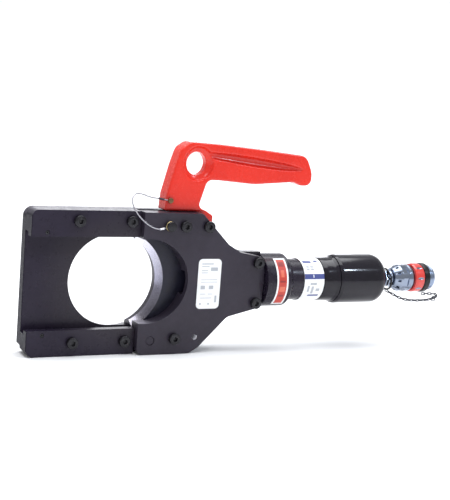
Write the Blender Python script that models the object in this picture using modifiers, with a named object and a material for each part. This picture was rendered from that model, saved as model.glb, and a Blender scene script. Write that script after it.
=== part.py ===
"""Rescue cutter: hydraulic guillotine cutting head with an opening swing head,
a cast carrying handle, a single-acting cylinder and a capped quick coupler.

Blender 4.5, metres, +Z up. The tool runs along X: swing head at -X, coupler at
+X. Z is the height, with the carrying handle on top. Y is the thickness of the
plates, with the bolt heads on the -Y side.

All dimensions below are millimetres in the tool frame, whose zero is the centre
of the round cutting opening on the front face of the guide rails. The whole
tool is then shifted so that the world origin is under the middle of its bounding
box, on the plane that its lower edge stands on.
"""
import bpy
import bmesh
import math
from mathutils import Vector

MM = 0.001

# ------------------------------------------------------------- driving sizes
OPENING_R = 52.5          # radius of the cutting opening
HEAD_LEFT = -104.5        # free end of the swing head
HEAD_HALF = 81.8          # half height of the head
SEAM_X = 22.6             # where the swing head ends
YOKE_LEFT = 23.2          # where the yoke plates begin
GAP = 0.3                 # clearance between neighbours

Y_RAIL = 0.0              # front face of the guide rails
Y_LIP = 9.7               # back of the rail lips
Y_MID0, Y_MID1 = 10.0, 20.4   # middle layer: moving blade, lugs, handle root
Y_BACK0, Y_BACK1 = 20.7, 32.7  # rear layer: fixed blade and rear yoke plate
Y_YOKE = -9.0             # front face of the front yoke plate

LIP_EDGE = 52.3           # inner edge of the rail lips
CHANNEL = 56.8            # half height of the blade channel
BLADE_HALF = 56.5         # half height of the moving blade
BEVEL_RUN = 5.6           # radial run of the blade's bevel across its thickness

HINGE = (39.2, -65.5)     # head hinge pin
LATCH = (54.0, 66.5)      # latch pin
BOLT_TOP = ((73.3, 66.3), (102.7, 66.3))   # bolts through the handle root
BOLT_LOW = (68.3, -63.5)
WINDOW = (94.9, -62.8)    # open hole through both yoke plates
NECK_BOLTS = ((170.5, 24.0), (170.5, -24.0))
RAIL_BOLTS = ((-50.6, 70.0), (11.2, 70.0), (-51.5, -66.6), (10.6, -66.6))
SET_SCREWS = ((-86.2, 57.0), (-86.2, -57.4))

AXIS_Y = 12.0             # cylinder axis, at z = 0
CYL_R = 31.9              # front of the cylinder
BARREL_R = 25.0           # cylinder barrel
BORE_R = 18.0
ROD_R = 13.0
GRIP_R = 30.2
CYL_X0, CYL_X1, CYL_X2, BARREL_END = 181.0, 212.6, 219.0, 350.0

HANDLE_Y0, HANDLE_Y1 = 4.2, 26.2

# extent of the tool without its wire and chain, which gives the world origin
X_MIN, X_MAX = HEAD_LEFT, 435.8
ORIGIN_X = (X_MIN + X_MAX) / 2
ORIGIN_Y = AXIS_Y - 0.425   # the warning label stands proud on the front only
ORIGIN_Z = -82.0

BOLT_SHANK, BOLT_HOLE = 3.9, 4.3
HINGE_R, LATCH_R = 5.0, 4.5

# ------------------------------------------------------------------- set-up
for old in list(bpy.data.objects):
    bpy.data.objects.remove(old, do_unlink=True)

parts = bpy.data.collections.new("rescue_cutter")
bpy.context.scene.collection.children.link(parts)
cutters = bpy.data.collections.new("cutters")
bpy.context.scene.collection.children.link(cutters)
guides = bpy.data.collections.new("joint_axes")
bpy.context.scene.collection.children.link(guides)


def place(x, y, z):
    """Tool frame in mm to world metres."""
    return Vector(((x - ORIGIN_X) * MM, (y - ORIGIN_Y) * MM, (z - ORIGIN_Z) * MM))


def material(name, colour, rough, metal):
    mat = bpy.data.materials.new(name)
    mat.use_nodes = True
    bsdf = mat.node_tree.nodes["Principled BSDF"]
    bsdf.inputs["Base Color"].default_value = (*colour, 1.0)
    bsdf.inputs["Roughness"].default_value = rough
    bsdf.inputs["Metallic"].default_value = metal
    mat.diffuse_color = (*colour, 1.0)
    return mat


LOOKS = {
    "black_paint": ((0.035, 0.032, 0.042), 0.42, 0.2),
    "yoke_paint": ((0.06, 0.056, 0.062), 0.45, 0.2),
    "red_cast": ((0.86, 0.06, 0.04), 0.35, 0.0),
    "ground_steel": ((0.78, 0.77, 0.80), 0.25, 1.0),
    "blued_steel": ((0.05, 0.05, 0.06), 0.35, 0.9),
    "rubber": ((0.03, 0.03, 0.035), 0.55, 0.0),
    "silver": ((0.62, 0.66, 0.72), 0.22, 1.0),
    "coupler_red": ((0.75, 0.09, 0.10), 0.25, 0.1),
    "label_white": ((0.90, 0.92, 0.92), 0.5, 0.0),
    "label_red": ((0.70, 0.09, 0.07), 0.5, 0.0),
    "wire": ((0.70, 0.70, 0.74), 0.3, 1.0),
    "brass": ((0.70, 0.55, 0.28), 0.35, 1.0),
}


def finish(obj, look, collection=None, smooth=True):
    (collection or parts).objects.link(obj)
    if look:
        mat = material(obj.name + "_" + look, *LOOKS[look])
        obj.data.materials.clear()
        obj.data.materials.append(mat)
    if smooth:
        obj.data.shade_smooth()
        obj.data.set_sharp_from_angle(angle=math.radians(35))
    if collection is cutters:
        obj.hide_render = True
        obj.display_type = "WIRE"
    return obj


# ------------------------------------------------------------ outline helpers
def arc(cx, cz, r, a0, a1, n, rz=None):
    """Points on an arc from angle a0 to a1 in degrees."""
    rz = r if rz is None else rz
    out = []
    for i in range(n + 1):
        a = math.radians(a0 + (a1 - a0) * i / n)
        out.append((cx + r * math.cos(a), cz + rz * math.sin(a)))
    return out


def rounded(points, n=4):
    """Closed outline from (x, z, radius) corners."""
    out = []
    count = len(points)
    for i, (x, z, r) in enumerate(points):
        if r <= 0:
            out.append((x, z))
            continue
        p = Vector((x, z))
        a = Vector(points[i - 1][:2]) - p
        b = Vector(points[(i + 1) % count][:2]) - p
        half = a.angle(b) / 2
        reach = r / math.tan(half)
        a.normalize()
        b.normalize()
        centre = p + (a + b).normalized() * (r / math.sin(half))
        s = p + a * reach - centre
        e = p + b * reach - centre
        turn = s.angle_signed(e)
        for k in range(n + 1):
            t = turn * k / n
            c, q = math.cos(t), math.sin(t)
            out.append((centre.x + s.x * c + s.y * q, centre.y - s.x * q + s.y * c))
    return out


def plate(name, loops, y0, y1, look=None, collection=None, pivot=(0.0, 0.0), bevel=0.0):
    """Flat piece: outlines in X and Z, thickness y0 to y1, inner loops are holes."""
    curve = bpy.data.curves.new(name + "_outline", "CURVE")
    curve.dimensions = "2D"
    curve.fill_mode = "BOTH"
    curve.extrude = (y1 - y0) / 2 * MM
    for loop in loops:
        spline = curve.splines.new("POLY")
        spline.points.add(len(loop) - 1)
        for k, (x, z) in enumerate(loop):
            spline.points[k].co = ((x - pivot[0]) * MM, (z - pivot[1]) * MM, 0.0, 1.0)
        spline.use_cyclic_u = True
    helper = bpy.data.objects.new(name + "_outline", curve)
    helper.location = place(pivot[0], (y0 + y1) / 2, pivot[1])
    helper.rotation_euler = (math.radians(90), 0.0, 0.0)
    bpy.context.scene.collection.objects.link(helper)
    obj = to_mesh(helper, name)
    if bevel:
        mod = obj.modifiers.new("edge", "BEVEL")
        mod.width = bevel * MM
        mod.segments = 1
        mod.limit_method = "ANGLE"
        mod.angle_limit = math.radians(50)
    return finish(obj, look, collection)


def to_mesh(helper, name):
    """A curve object as a closed mesh object in the same place."""
    bpy.context.view_layer.update()
    graph = bpy.context.evaluated_depsgraph_get()
    mesh = bpy.data.meshes.new_from_object(helper.evaluated_get(graph))
    mesh.name = name
    bm = bmesh.new()
    bm.from_mesh(mesh)
    bmesh.ops.remove_doubles(bm, verts=bm.verts, dist=1e-6)
    bmesh.ops.recalc_face_normals(bm, faces=bm.faces)
    bm.to_mesh(mesh)
    bm.free()
    obj = bpy.data.objects.new(name, mesh)
    obj.matrix_world = helper.matrix_world.copy()
    bpy.data.objects.remove(helper, do_unlink=True)
    return obj


def turned(name, profile, centre, axis, steps=32, look=None, collection=None, ring=False):
    """Turned piece. profile is (radius, distance along the axis), from the far end
    to the near end down its outer side. ring closes the profile on itself."""
    mesh = bpy.data.meshes.new(name)
    bm = bmesh.new()
    verts = [bm.verts.new((r * MM, 0.0, a * MM)) for r, a in profile]
    for a, b in zip(verts, verts[1:]):
        bm.edges.new((a, b))
    if ring:
        bm.edges.new((verts[-1], verts[0]))
    bm.to_mesh(mesh)
    bm.free()
    obj = bpy.data.objects.new(name, mesh)
    obj.location = place(*centre)
    obj.rotation_euler = {"X": (0.0, math.radians(90), 0.0),
                          "Y": (math.radians(-90), 0.0, 0.0)}[axis]
    mod = obj.modifiers.new("turn", "SCREW")
    mod.steps = steps
    mod.render_steps = steps
    mod.use_merge_vertices = True
    mod.merge_threshold = 0.00001
    mod.use_smooth_shade = True
    finish(obj, look, collection, smooth=False)
    return obj


def rod(name, x, z, y0, y1, r, segments=20, look=None, collection=None):
    """Plain round pin along Y."""
    mesh = bpy.data.meshes.new(name)
    bm = bmesh.new()
    bmesh.ops.create_cone(bm, cap_ends=True, segments=segments, radius1=r * MM,
                          radius2=r * MM, depth=(y1 - y0) * MM)
    bm.to_mesh(mesh)
    bm.free()
    obj = bpy.data.objects.new(name, mesh)
    obj.location = place(x, (y0 + y1) / 2, z)
    obj.rotation_euler = (math.radians(90), 0.0, 0.0)
    return finish(obj, look, collection)


def block(name, x0, x1, y0, y1, z0, z1, look=None, collection=None):
    mesh = bpy.data.meshes.new(name)
    bm = bmesh.new()
    bmesh.ops.create_cube(bm, size=1.0)
    bmesh.ops.scale(bm, vec=((x1 - x0) * MM, (y1 - y0) * MM, (z1 - z0) * MM), verts=bm.verts)
    bm.to_mesh(mesh)
    bm.free()
    obj = bpy.data.objects.new(name, mesh)
    obj.location = place((x0 + x1) / 2, (y0 + y1) / 2, (z0 + z1) / 2)
    return finish(obj, look, collection, smooth=False)


def boolean(obj, cutter, operation="DIFFERENCE"):
    mod = obj.modifiers.new(cutter.name, "BOOLEAN")
    mod.operation = operation
    mod.solver = "EXACT"
    mod.object = cutter
    return obj


def cord(name, route, radius, look, count):
    """Round cord through route, read from a smooth curve at even spacing."""
    pts = [Vector(p) for p in route]
    ext = [pts[0] * 2 - pts[1]] + pts + [pts[-1] * 2 - pts[-2]]
    dense = []
    for i in range(1, len(ext) - 2):
        p0, p1, p2, p3 = ext[i - 1:i + 3]
        for k in range(24):
            t = k / 24
            dense.append(0.5 * ((2 * p1) + (p2 - p0) * t + (2 * p0 - 5 * p1 + 4 * p2 - p3) * t * t
                                + (3 * p1 - p0 - 3 * p2 + p3) * t ** 3))
    dense.append(pts[-1])
    run = [0.0]
    for a, b in zip(dense, dense[1:]):
        run.append(run[-1] + (b - a).length)
    even = []
    j = 0
    for k in range(count):
        s = run[-1] * k / (count - 1)
        while j < len(run) - 2 and run[j + 1] < s:
            j += 1
        t = (s - run[j]) / max(run[j + 1] - run[j], 1e-9)
        even.append(dense[j].lerp(dense[j + 1], min(max(t, 0.0), 1.0)))
    curve = bpy.data.curves.new(name, "CURVE")
    curve.dimensions = "3D"
    curve.bevel_depth = radius * MM
    curve.bevel_resolution = 2
    curve.use_fill_caps = True
    spline = curve.splines.new("POLY")
    spline.points.add(count - 1)
    for k, p in enumerate(even):
        spline.points[k].co = (*place(*p), 1.0)
    obj = bpy.data.objects.new(name, curve)
    parts.objects.link(obj)
    curve.materials.append(material(name + "_" + look, *LOOKS[look]))
    return obj


def cap_bolt(name, x, z, face, tip, look="blued_steel"):
    """Hexagon socket cap screw along Y, its head on a face that looks to -Y."""
    under = face - GAP
    top = under - 5.0
    bolt = turned(name, [(0.0, tip - under), (BOLT_SHANK, tip - under), (BOLT_SHANK, 0.0),
                         (6.5, 0.0), (6.5, -4.4), (5.9, -5.0), (0.0, -5.0)],
                  (x, under, z), "Y", 16, look)
    socket = rod(name + "_socket", x, z, top - 1.0, top + 3.0, 3.0, 6, None, cutters)
    return boolean(bolt, socket)


def hole(x, z, r, n=20):
    return arc(x, z, r, 0, 360 - 360 / n, n - 1)


# ----------------------------------------------------------------- swing head
fixed_outline = rounded([(SEAM_X, HEAD_HALF, 0), (HEAD_LEFT, HEAD_HALF, 11.0),
                         (HEAD_LEFT, -HEAD_HALF + 10.5, 0), (HEAD_LEFT + 9.5, -HEAD_HALF, 0),
                         (SEAM_X, -HEAD_HALF, 0)])
fixed_outline += [(SEAM_X, -OPENING_R)]
fixed_outline += arc(0, 0, OPENING_R, 270, 90, 32)
fixed_outline += [(SEAM_X, OPENING_R)]
fixed_blade = plate("fixed_blade",
                    [fixed_outline] + [hole(x, z, BOLT_HOLE, 12) for x, z in RAIL_BOLTS],
                    Y_BACK0, Y_BACK1, "black_paint")

SLOT = 5.0                # half width of the latch slot in the lug
hinge_to_latch = math.hypot(LATCH[0] - HINGE[0], LATCH[1] - HINGE[1])
latch_angle = math.degrees(math.atan2(LATCH[1] - HINGE[1], LATCH[0] - HINGE[0]))

upper_rail = plate("upper_guide_rail",
                   [rounded([(SEAM_X, HEAD_HALF, 0), (HEAD_LEFT, HEAD_HALF, 8.0),
                             (HEAD_LEFT, LIP_EDGE, 0), (SEAM_X, LIP_EDGE, 0)])]
                   + [hole(x, z, BOLT_HOLE, 12) for x, z in RAIL_BOLTS[:2]],
                   Y_RAIL, Y_LIP, "black_paint")
upper_web = plate("upper_web",
                  [rounded([(HEAD_LEFT, HEAD_HALF, 8.0), (HEAD_LEFT, CHANNEL, 0),
                            (LATCH[0] + 9.5, CHANNEL, 4.0), (LATCH[0] + 9.5, 77.0, 6.0),
                            (SEAM_X + 0.9, 79.2, 0), (SEAM_X, HEAD_HALF, 0)])]
                  + [hole(x, z, BOLT_HOLE, 12) for x, z in RAIL_BOLTS[:2]],
                  Y_LIP - 1.0, Y_MID1, None, cutters)
boolean(upper_rail, upper_web, "UNION")
boolean(upper_rail, block("upper_lug_face", SEAM_X, 75.0, Y_LIP - 3, Y_MID0, 50.0, 90.0, None, cutters))
# The latch slot runs on an arc about the hinge and is open at the end of the lug.
slot_loop = (arc(HINGE[0], HINGE[1], hinge_to_latch + SLOT, latch_angle, latch_angle - 8, 6)
             + arc(HINGE[0], HINGE[1], hinge_to_latch - SLOT, latch_angle - 8, latch_angle, 6)
             + arc(LATCH[0], LATCH[1], SLOT, latch_angle - 180, latch_angle - 360, 12)[1:-1])
latch_slot = plate("latch_slot", [slot_loop], Y_LIP - 3, Y_MID1 + 3, None, cutters)
boolean(upper_rail, latch_slot)

lower_rail = plate("lower_guide_rail",
                   [rounded([(HEAD_LEFT, -LIP_EDGE, 0), (HEAD_LEFT, -HEAD_HALF + 7.0, 0),
                             (HEAD_LEFT + 6.0, -HEAD_HALF, 0), (SEAM_X, -HEAD_HALF, 0),
                             (SEAM_X, -LIP_EDGE, 0)])]
                   + [hole(x, z, BOLT_HOLE, 12) for x, z in RAIL_BOLTS[2:]],
                   Y_RAIL, Y_LIP, "black_paint")
LUG_R = 8.55
lower_web_loop = ([(HEAD_LEFT, -CHANNEL), (HEAD_LEFT, -HEAD_HALF + 7.0),
                   (HEAD_LEFT + 6.0, -HEAD_HALF), (30.0, -HEAD_HALF), (HINGE[0], -77.0)]
                  + arc(HINGE[0], HINGE[1], LUG_R, -88, 90, 12)
                  + [(34.0, -CHANNEL - 0.1), (SEAM_X, -CHANNEL)])
lower_web = plate("lower_web",
                  [lower_web_loop] + [hole(x, z, BOLT_HOLE, 12) for x, z in RAIL_BOLTS[2:]]
                  + [hole(*HINGE, HINGE_R + GAP, 20)],
                  Y_LIP - 1.0, Y_MID1, None, cutters)
boolean(lower_rail, lower_web, "UNION")
boolean(lower_rail, block("lower_lug_face", SEAM_X, 60.0, Y_LIP - 3, Y_MID0, -90.0, -50.0, None, cutters))

for rail, (x, z), tag in ((upper_rail, SET_SCREWS[0], "upper"), (lower_rail, SET_SCREWS[1], "lower")):
    seat = rod(tag + "_screw_seat", x, z, -2.0, 6.3, 2.5, 16, None, cutters)
    boolean(rail, seat)
    rod(tag + "_set_screw", x, z, 0.4, 6.0, 2.2, 16, "blued_steel")

for k, (x, z) in enumerate(RAIL_BOLTS):
    cap_bolt("rail_bolt_%d" % (k + 1), x, z, Y_RAIL, Y_BACK1 - 0.5)

# ----------------------------------------------------------------------- yoke
POCKET = (30.3, 3.0, 51.0, 48.5)   # centre and half axes of the front cut-out
right_side = [(95.0, 81.0, 3), (130.4, 45.6, 10), (147.0, 36.0, 8), (176.5, 30.6, 3),
              (180.0, 13.0, 6), (180.0, -8.6, 6), (178.0, -29.5, 7), (152.6, -35.7, 12),
              (135.0, -40.0, 12), (100.0, -75.0, 18), (88.0, -81.8, 12)]


def pocket_edge(n):
    cx, cz, a, b = POCKET
    start = math.degrees(math.acos((YOKE_LEFT - cx) / a))
    return arc(cx, cz, a, start, -start, n, b)


front_loop = rounded([(YOKE_LEFT, 81.6, 0)] + right_side + [(36.0, -82.0, 0)])
front_loop += arc(32.2, -73.0, 9.0, 270, 180, 6)
front_loop += list(reversed(pocket_edge(30)))
yoke_holes = ([hole(x, z, BOLT_HOLE, 12) for x, z in BOLT_TOP + (BOLT_LOW,) + NECK_BOLTS]
              + [hole(*WINDOW, 3.0, 16), hole(*HINGE, HINGE_R + GAP, 20),
                 hole(*LATCH, LATCH_R + GAP, 20)])
front_plate = plate("yoke_front_plate", [front_loop] + yoke_holes, Y_YOKE, Y_LIP, "yoke_paint")
# Corner relief: the end of the lower rail sweeps past on a circle about the hinge.
SWEEP_R = 16.3


def relief(name, y0, y1):
    loop = ([(YOKE_LEFT - 4, HINGE[1] - 2.0), (HINGE[0] - SWEEP_R, HINGE[1] - 2.0)]
            + arc(HINGE[0], HINGE[1], SWEEP_R, 187, 262, 8)
            + [(HINGE[0] - 2.0, HINGE[1] - 24.0), (YOKE_LEFT - 4, HINGE[1] - 24.0)])
    return plate(name, [loop], y0, y1, None, cutters)


boolean(front_plate, relief("front_relief", -0.4, Y_LIP + 1))
boolean(front_plate, block("front_rod_channel", 70.0, 190.0, AXIS_Y - 13.4, Y_LIP + 1, -13.4, 13.4,
                           None, cutters))

rear_loop = rounded([(YOKE_LEFT, 81.6, 0)] + right_side + [(HINGE[0] - 1.0, -82.0, 0)])
rear_loop += arc(HINGE[0], HINGE[1], SWEEP_R, 262, 187, 8)
back_r = OPENING_R + 2.0
back_a = math.degrees(math.acos(YOKE_LEFT / back_r))
rear_loop += list(reversed(arc(0, 0, back_r, back_a, -back_a, 24)))
rear_plate = plate("yoke_rear_plate", [rear_loop] + yoke_holes, Y_BACK0, Y_BACK1, "yoke_paint")
boolean(rear_plate, block("rear_rod_channel", 40.0, 190.0, Y_BACK0 - 1, AXIS_Y + 13.4, -13.4, 13.4,
                          None, cutters))

turned("lower_spacer", [(6.2, 10.4), (6.2, 0.0), (BOLT_HOLE, 0.0), (BOLT_HOLE, 10.4)],
       (BOLT_LOW[0], Y_MID0, BOLT_LOW[1]), "Y", 24, "blued_steel", ring=True)
cap_bolt("lower_yoke_bolt", *BOLT_LOW, Y_YOKE, Y_BACK1 - 0.5)
rod("hinge_pin", *HINGE, Y_YOKE + 0.4, Y_BACK1 - 0.4, HINGE_R, 20, "blued_steel")
cap_bolt("neck_bolt_upper", *NECK_BOLTS[0], Y_YOKE, Y_BACK1 - 0.5)
cap_bolt("neck_bolt_lower", *NECK_BOLTS[1], Y_YOKE, Y_BACK1 - 0.5)
plate("nameplate", [rounded([(93.2, 29.0, 5), (122.4, 29.0, 5), (122.4, -29.4, 5), (93.2, -29.4, 5)], 5)],
      Y_YOKE - GAP - 0.8, Y_YOKE - GAP, "label_white")

# --------------------------------------------------------------------- handle
handle_loop = rounded([
    (52.6, 82.2, 0), (54.2, 101.0, 20), (62.8, 135.0, 30), (68.8, 153.5, 14), (80.0, 161.0, 12),
    (115.0, 159.6, 60), (168.0, 155.8, 60), (232.5, 150.0, 9), (241.8, 131.0, 14),
    (242.2, 114.8, 5), (227.0, 114.6, 5), (218.0, 118.6, 14), (165.0, 114.6, 80),
    (120.0, 118.0, 20), (104.2, 118.2, 8), (94.6, 86.6, 6), (105.5, 82.2, 0)], 3)
eye = arc(90.6, 136.4, 12.6, 0, 360 - 15, 23, 13.6)
handle = plate("carry_handle", [handle_loop, eye], HANDLE_Y0, HANDLE_Y1, "red_cast", bevel=4.0)
root_loop = rounded([(64.2, 86.0, 0), (64.2, 58.2, 2), (116.6, 58.2, 2), (116.6, 76.4, 2),
                     (106.0, 82.2, 2), (100.0, 86.0, 0)], 2)
handle_root = plate("handle_root", [root_loop] + [hole(x, z, BOLT_HOLE, 12) for x, z in BOLT_TOP],
                    Y_MID0, Y_MID1, None, cutters)
boolean(handle, handle_root, "UNION")
for k, (x, z) in enumerate(BOLT_TOP):
    cap_bolt("handle_bolt_%d" % (k + 1), x, z, Y_YOKE, Y_BACK1 - 0.5)
turned("lanyard_post", [(0.0, 0.0), (2.2, 0.0), (2.2, -2.0), (3.2, -2.3), (3.2, -3.6), (0.0, -3.6)],
       (57.6, HANDLE_Y0 - GAP, 94.0), "Y", 16, "brass")

# ------------------------------------------------------------------- cylinder
cyl_profile = [(BORE_R, BARREL_END), (BARREL_R, BARREL_END), (BARREL_R, CYL_X2), (CYL_R, CYL_X1),
               (CYL_R, CYL_X0 + 1.0), (CYL_R - 1.0, CYL_X0), (13.4, CYL_X0), (13.4, 184.5),
               (15.6, 184.5), (15.6, 188.5), (13.4, 188.5), (13.4, 193.0), (BORE_R, 193.0)]
cylinder = turned("cylinder_body", cyl_profile, (0.0, AXIS_Y, 0.0), "X", 32, "black_paint", ring=True)
for tag, sign, top in (("upper", 1, 34.2), ("lower", -1, 32.6)):
    lo, hi = sorted((sign * 15.2, sign * top))
    tang = plate(tag + "_tang", [rounded([(155.0, lo, 3), (183.0, lo, 0), (183.0, hi, 0), (155.0, hi, 3)][::1], 2),
                                 hole(170.5, sign * 24.0, BOLT_HOLE, 12)],
                 Y_MID0, Y_MID1, None, cutters)
    boolean(cylinder, tang, "UNION")
turned("rod_seal", [(15.3, 188.2), (15.3, 184.8), (13.25, 184.8), (13.25, 188.2)],
       (0.0, AXIS_Y, 0.0), "X", 32, "rubber", ring=True)
turned("grip_collar", [(25.4, 283.6), (28.8, 283.6), (26.9, 279.6), (26.2, 262.0), (25.4, 262.0)], (0.0, AXIS_Y, 0.0), "X", 32, "rubber", ring=True)
turned("grip_sleeve", [(25.4, 349.7), (26.2, 349.7), (29.0, 345.6), (GRIP_R, 341.0), (GRIP_R, 287.0),
                       (29.2, 284.1), (25.4, 284.1)],
       (0.0, AXIS_Y, 0.0), "X", 32, "rubber", ring=True)
turned("end_cap", [(5.0, 361.0), (11.8, 361.0), (14.0, 356.6), (19.4, 352.8), (25.2, 350.3), (17.6, 350.3),
                    (17.6, 342.0), (5.0, 342.0)],
       (0.0, AXIS_Y, 0.0), "X", 32, "black_paint", ring=True)
turned("hose_nipple", [(4.0, 374.0), (10.0, 374.0), (11.0, 373.2), (11.0, 362.1), (10.0, 361.3),
                       (4.0, 361.3)], (0.0, AXIS_Y, 0.0), "X", 6, "silver", ring=True)
turned("coupler_body", [(5.0, 422.0), (14.0, 422.0), (14.0, 399.2), (17.0, 399.2), (17.0, 382.4),
                        (12.5, 374.4), (5.0, 374.4)],
       (0.0, AXIS_Y, 0.0), "X", 32, "silver", ring=True)
turned("coupler_sleeve", [(14.3, 416.0), (18.4, 416.0), (18.4, 402.6), (14.3, 402.6)], (0.0, AXIS_Y, 0.0), "X", 32, "coupler_red", ring=True)
turned("dust_cap", [(6.4, 424.6), (18.8, 424.6), (18.8, 416.6), (14.4, 416.6), (14.4, 422.4), (6.4, 422.4)],
       (0.0, AXIS_Y, 0.0), "X", 32, "rubber", ring=True)
turned("cap_plug", [(0.0, 435.8), (11.0, 435.8), (14.6, 433.8), (15.8, 430.6), (15.8, 424.9),
                    (6.0, 424.9), (6.0, 422.5), (0.0, 422.5)], (0.0, AXIS_Y, 0.0), "X", 32, "silver")
turned("chain_ring", [(r_, a_) for r_, a_ in arc(13.0, 367.6, 1.3, 90, -270, 6)[:-1]],
       (0.0, AXIS_Y, 0.0), "X", 28, "rubber", ring=True)
turned("neck_label", [(25.3, 261.2), (25.8, 261.2), (25.8, 234.0), (25.3, 234.0)],
       (0.0, AXIS_Y, 0.0), "X", 32, "label_white", ring=True)


def band(name, x0, x1, r0, r1, centre_deg, half_deg, look, n=16):
    """Curved label on the cylinder: a strip of a thin ring."""
    loop = []
    for sign, r in ((1, r1), (-1, r0)):
        for k in range(n + 1):
            a = math.radians(centre_deg + sign * half_deg * (2 * k / n - 1))
            loop.append((r * math.cos(a), r * math.sin(a)))
    curve = bpy.data.curves.new(name + "_outline", "CURVE")
    curve.dimensions = "2D"
    curve.fill_mode = "BOTH"
    curve.extrude = (x1 - x0) / 2 * MM
    spline = curve.splines.new("POLY")
    spline.points.add(len(loop) - 1)
    for k, (a, b) in enumerate(loop):
        spline.points[k].co = (a * MM, b * MM, 0.0, 1.0)
    spline.use_cyclic_u = True
    helper = bpy.data.objects.new(name + "_outline", curve)
    helper.location = place((x0 + x1) / 2, AXIS_Y, 0.0)
    helper.rotation_euler = (math.radians(90), 0.0, math.radians(90))
    bpy.context.scene.collection.objects.link(helper)
    return finish(to_mesh(helper, name), look)


band("warning_label", 192.4, 207.4, CYL_R + 0.35, CYL_R + 0.85, 176.0, 56.0, "label_red")

# --------------------------------------------------------------- moving blade
blade_loop = ([(23.5, 54.7), (HINGE[0], BLADE_HALF), (86.0, BLADE_HALF), (106.0, 30.0), (115.4, 12.4),
               (115.4, -12.4), (106.0, -30.0), (86.0, -BLADE_HALF), (HINGE[0], -BLADE_HALF),
               (23.5, -54.7)])
blade = plate("moving_blade", [blade_loop, hole(104.0, 0.0, 3.7, 20)], Y_MID0, Y_MID1, "ground_steel")
mesh = bpy.data.meshes.new("blade_edge_cutter")
bm = bmesh.new()
over = 1.0
slope = BEVEL_RUN / (Y_MID1 - Y_MID0)
bmesh.ops.create_cone(bm, cap_ends=True, segments=80, radius1=(OPENING_R + BEVEL_RUN + slope * over) * MM,
                      radius2=(OPENING_R - slope * over) * MM, depth=(Y_MID1 - Y_MID0 + 2 * over) * MM)
bm.to_mesh(mesh)
bm.free()
edge_cutter = bpy.data.objects.new("blade_edge_cutter", mesh)
edge_cutter.location = place(0.0, (Y_MID0 + Y_MID1) / 2, 0.0)
edge_cutter.rotation_euler = (math.radians(-90), 0.0, 0.0)
finish(edge_cutter, None, cutters)
boolean(blade, edge_cutter)

piston_rod = turned("piston_rod", [(0.0, 339.6), (6.2, 339.6), (7.0, 338.8), (7.0, 318.0), (ROD_R, 318.0),
                                   (ROD_R, 93.4), (ROD_R - 1.4, 92.0), (0.0, 92.0)],
                    (0.0, AXIS_Y, 0.0), "X", 32, "ground_steel")
boolean(piston_rod, block("rod_fork_slot", 88.0, 116.0, Y_LIP, Y_BACK0, -20.0, 20.0, None, cutters))
boolean(piston_rod, rod("rod_pin_hole", 104.0, 0.0, -10.0, 40.0, 3.7, 20, None, cutters))
rod("blade_pin", 104.0, 0.0, 0.0, 24.0, 3.35, 20, "blued_steel")
turned("piston", [(7.3, 333.5), (17.7, 333.5), (17.7, 328.3), (15.6, 328.3), (15.6, 323.7), (17.7, 323.7),
                  (17.7, 318.3), (7.3, 318.3)], (0.0, AXIS_Y, 0.0), "X", 32, "silver", ring=True)
turned("piston_seal", [(15.9, 328.0), (17.75, 328.0), (17.75, 324.0), (15.9, 324.0)],
       (0.0, AXIS_Y, 0.0), "X", 32, "rubber", ring=True)
turned("piston_nut", [(8.5, 339.6), (12.5, 339.6), (12.5, 333.8), (8.5, 333.8)],
       (0.0, AXIS_Y, 0.0), "X", 6, "blued_steel", ring=True)

# Return spring around the rod, between the front wall and the piston.
SPRING_TURNS, SPRING_WIRE, SPRING_R = 9, 1.3, 15.7
spring_x0, spring_x1 = 194.7, 316.6
coil = bpy.data.curves.new("return_spring", "CURVE")
coil.dimensions = "3D"
coil.bevel_depth = SPRING_WIRE * MM
coil.bevel_resolution = 0
coil.use_fill_caps = True
spline = coil.splines.new("POLY")
steps_per_turn = 12
total = SPRING_TURNS * steps_per_turn
spline.points.add(total)
for k in range(total + 1):
    a = 2 * math.pi * k / steps_per_turn
    x = spring_x0 + (spring_x1 - spring_x0) * k / total
    spline.points[k].co = (*place(x, AXIS_Y + SPRING_R * math.cos(a), SPRING_R * math.sin(a)), 1.0)
spring = bpy.data.objects.new("return_spring", coil)
parts.objects.link(spring)
coil.materials.append(material("return_spring_steel", *LOOKS["wire"]))

# ------------------------------------------------------------------ latch pin
turned("latch_pin", [(0.0, 44.4), (2.6, 44.4), (LATCH_R, 42.0), (LATCH_R, 0.0), (5.8, 0.0), (5.8, -1.0),
                     (3.4, -1.0), (3.4, -3.6), (5.6, -3.6), (5.6, -7.0), (0.0, -7.0)],
       (LATCH[0], Y_YOKE - GAP, LATCH[1]), "Y", 20, "silver")
turned("pin_ring", arc(5.0, -2.3, 0.8, 90, -270, 6)[:-1],
       (LATCH[0], Y_YOKE - GAP, LATCH[1]), "Y", 20, "brass", ring=True)

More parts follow.
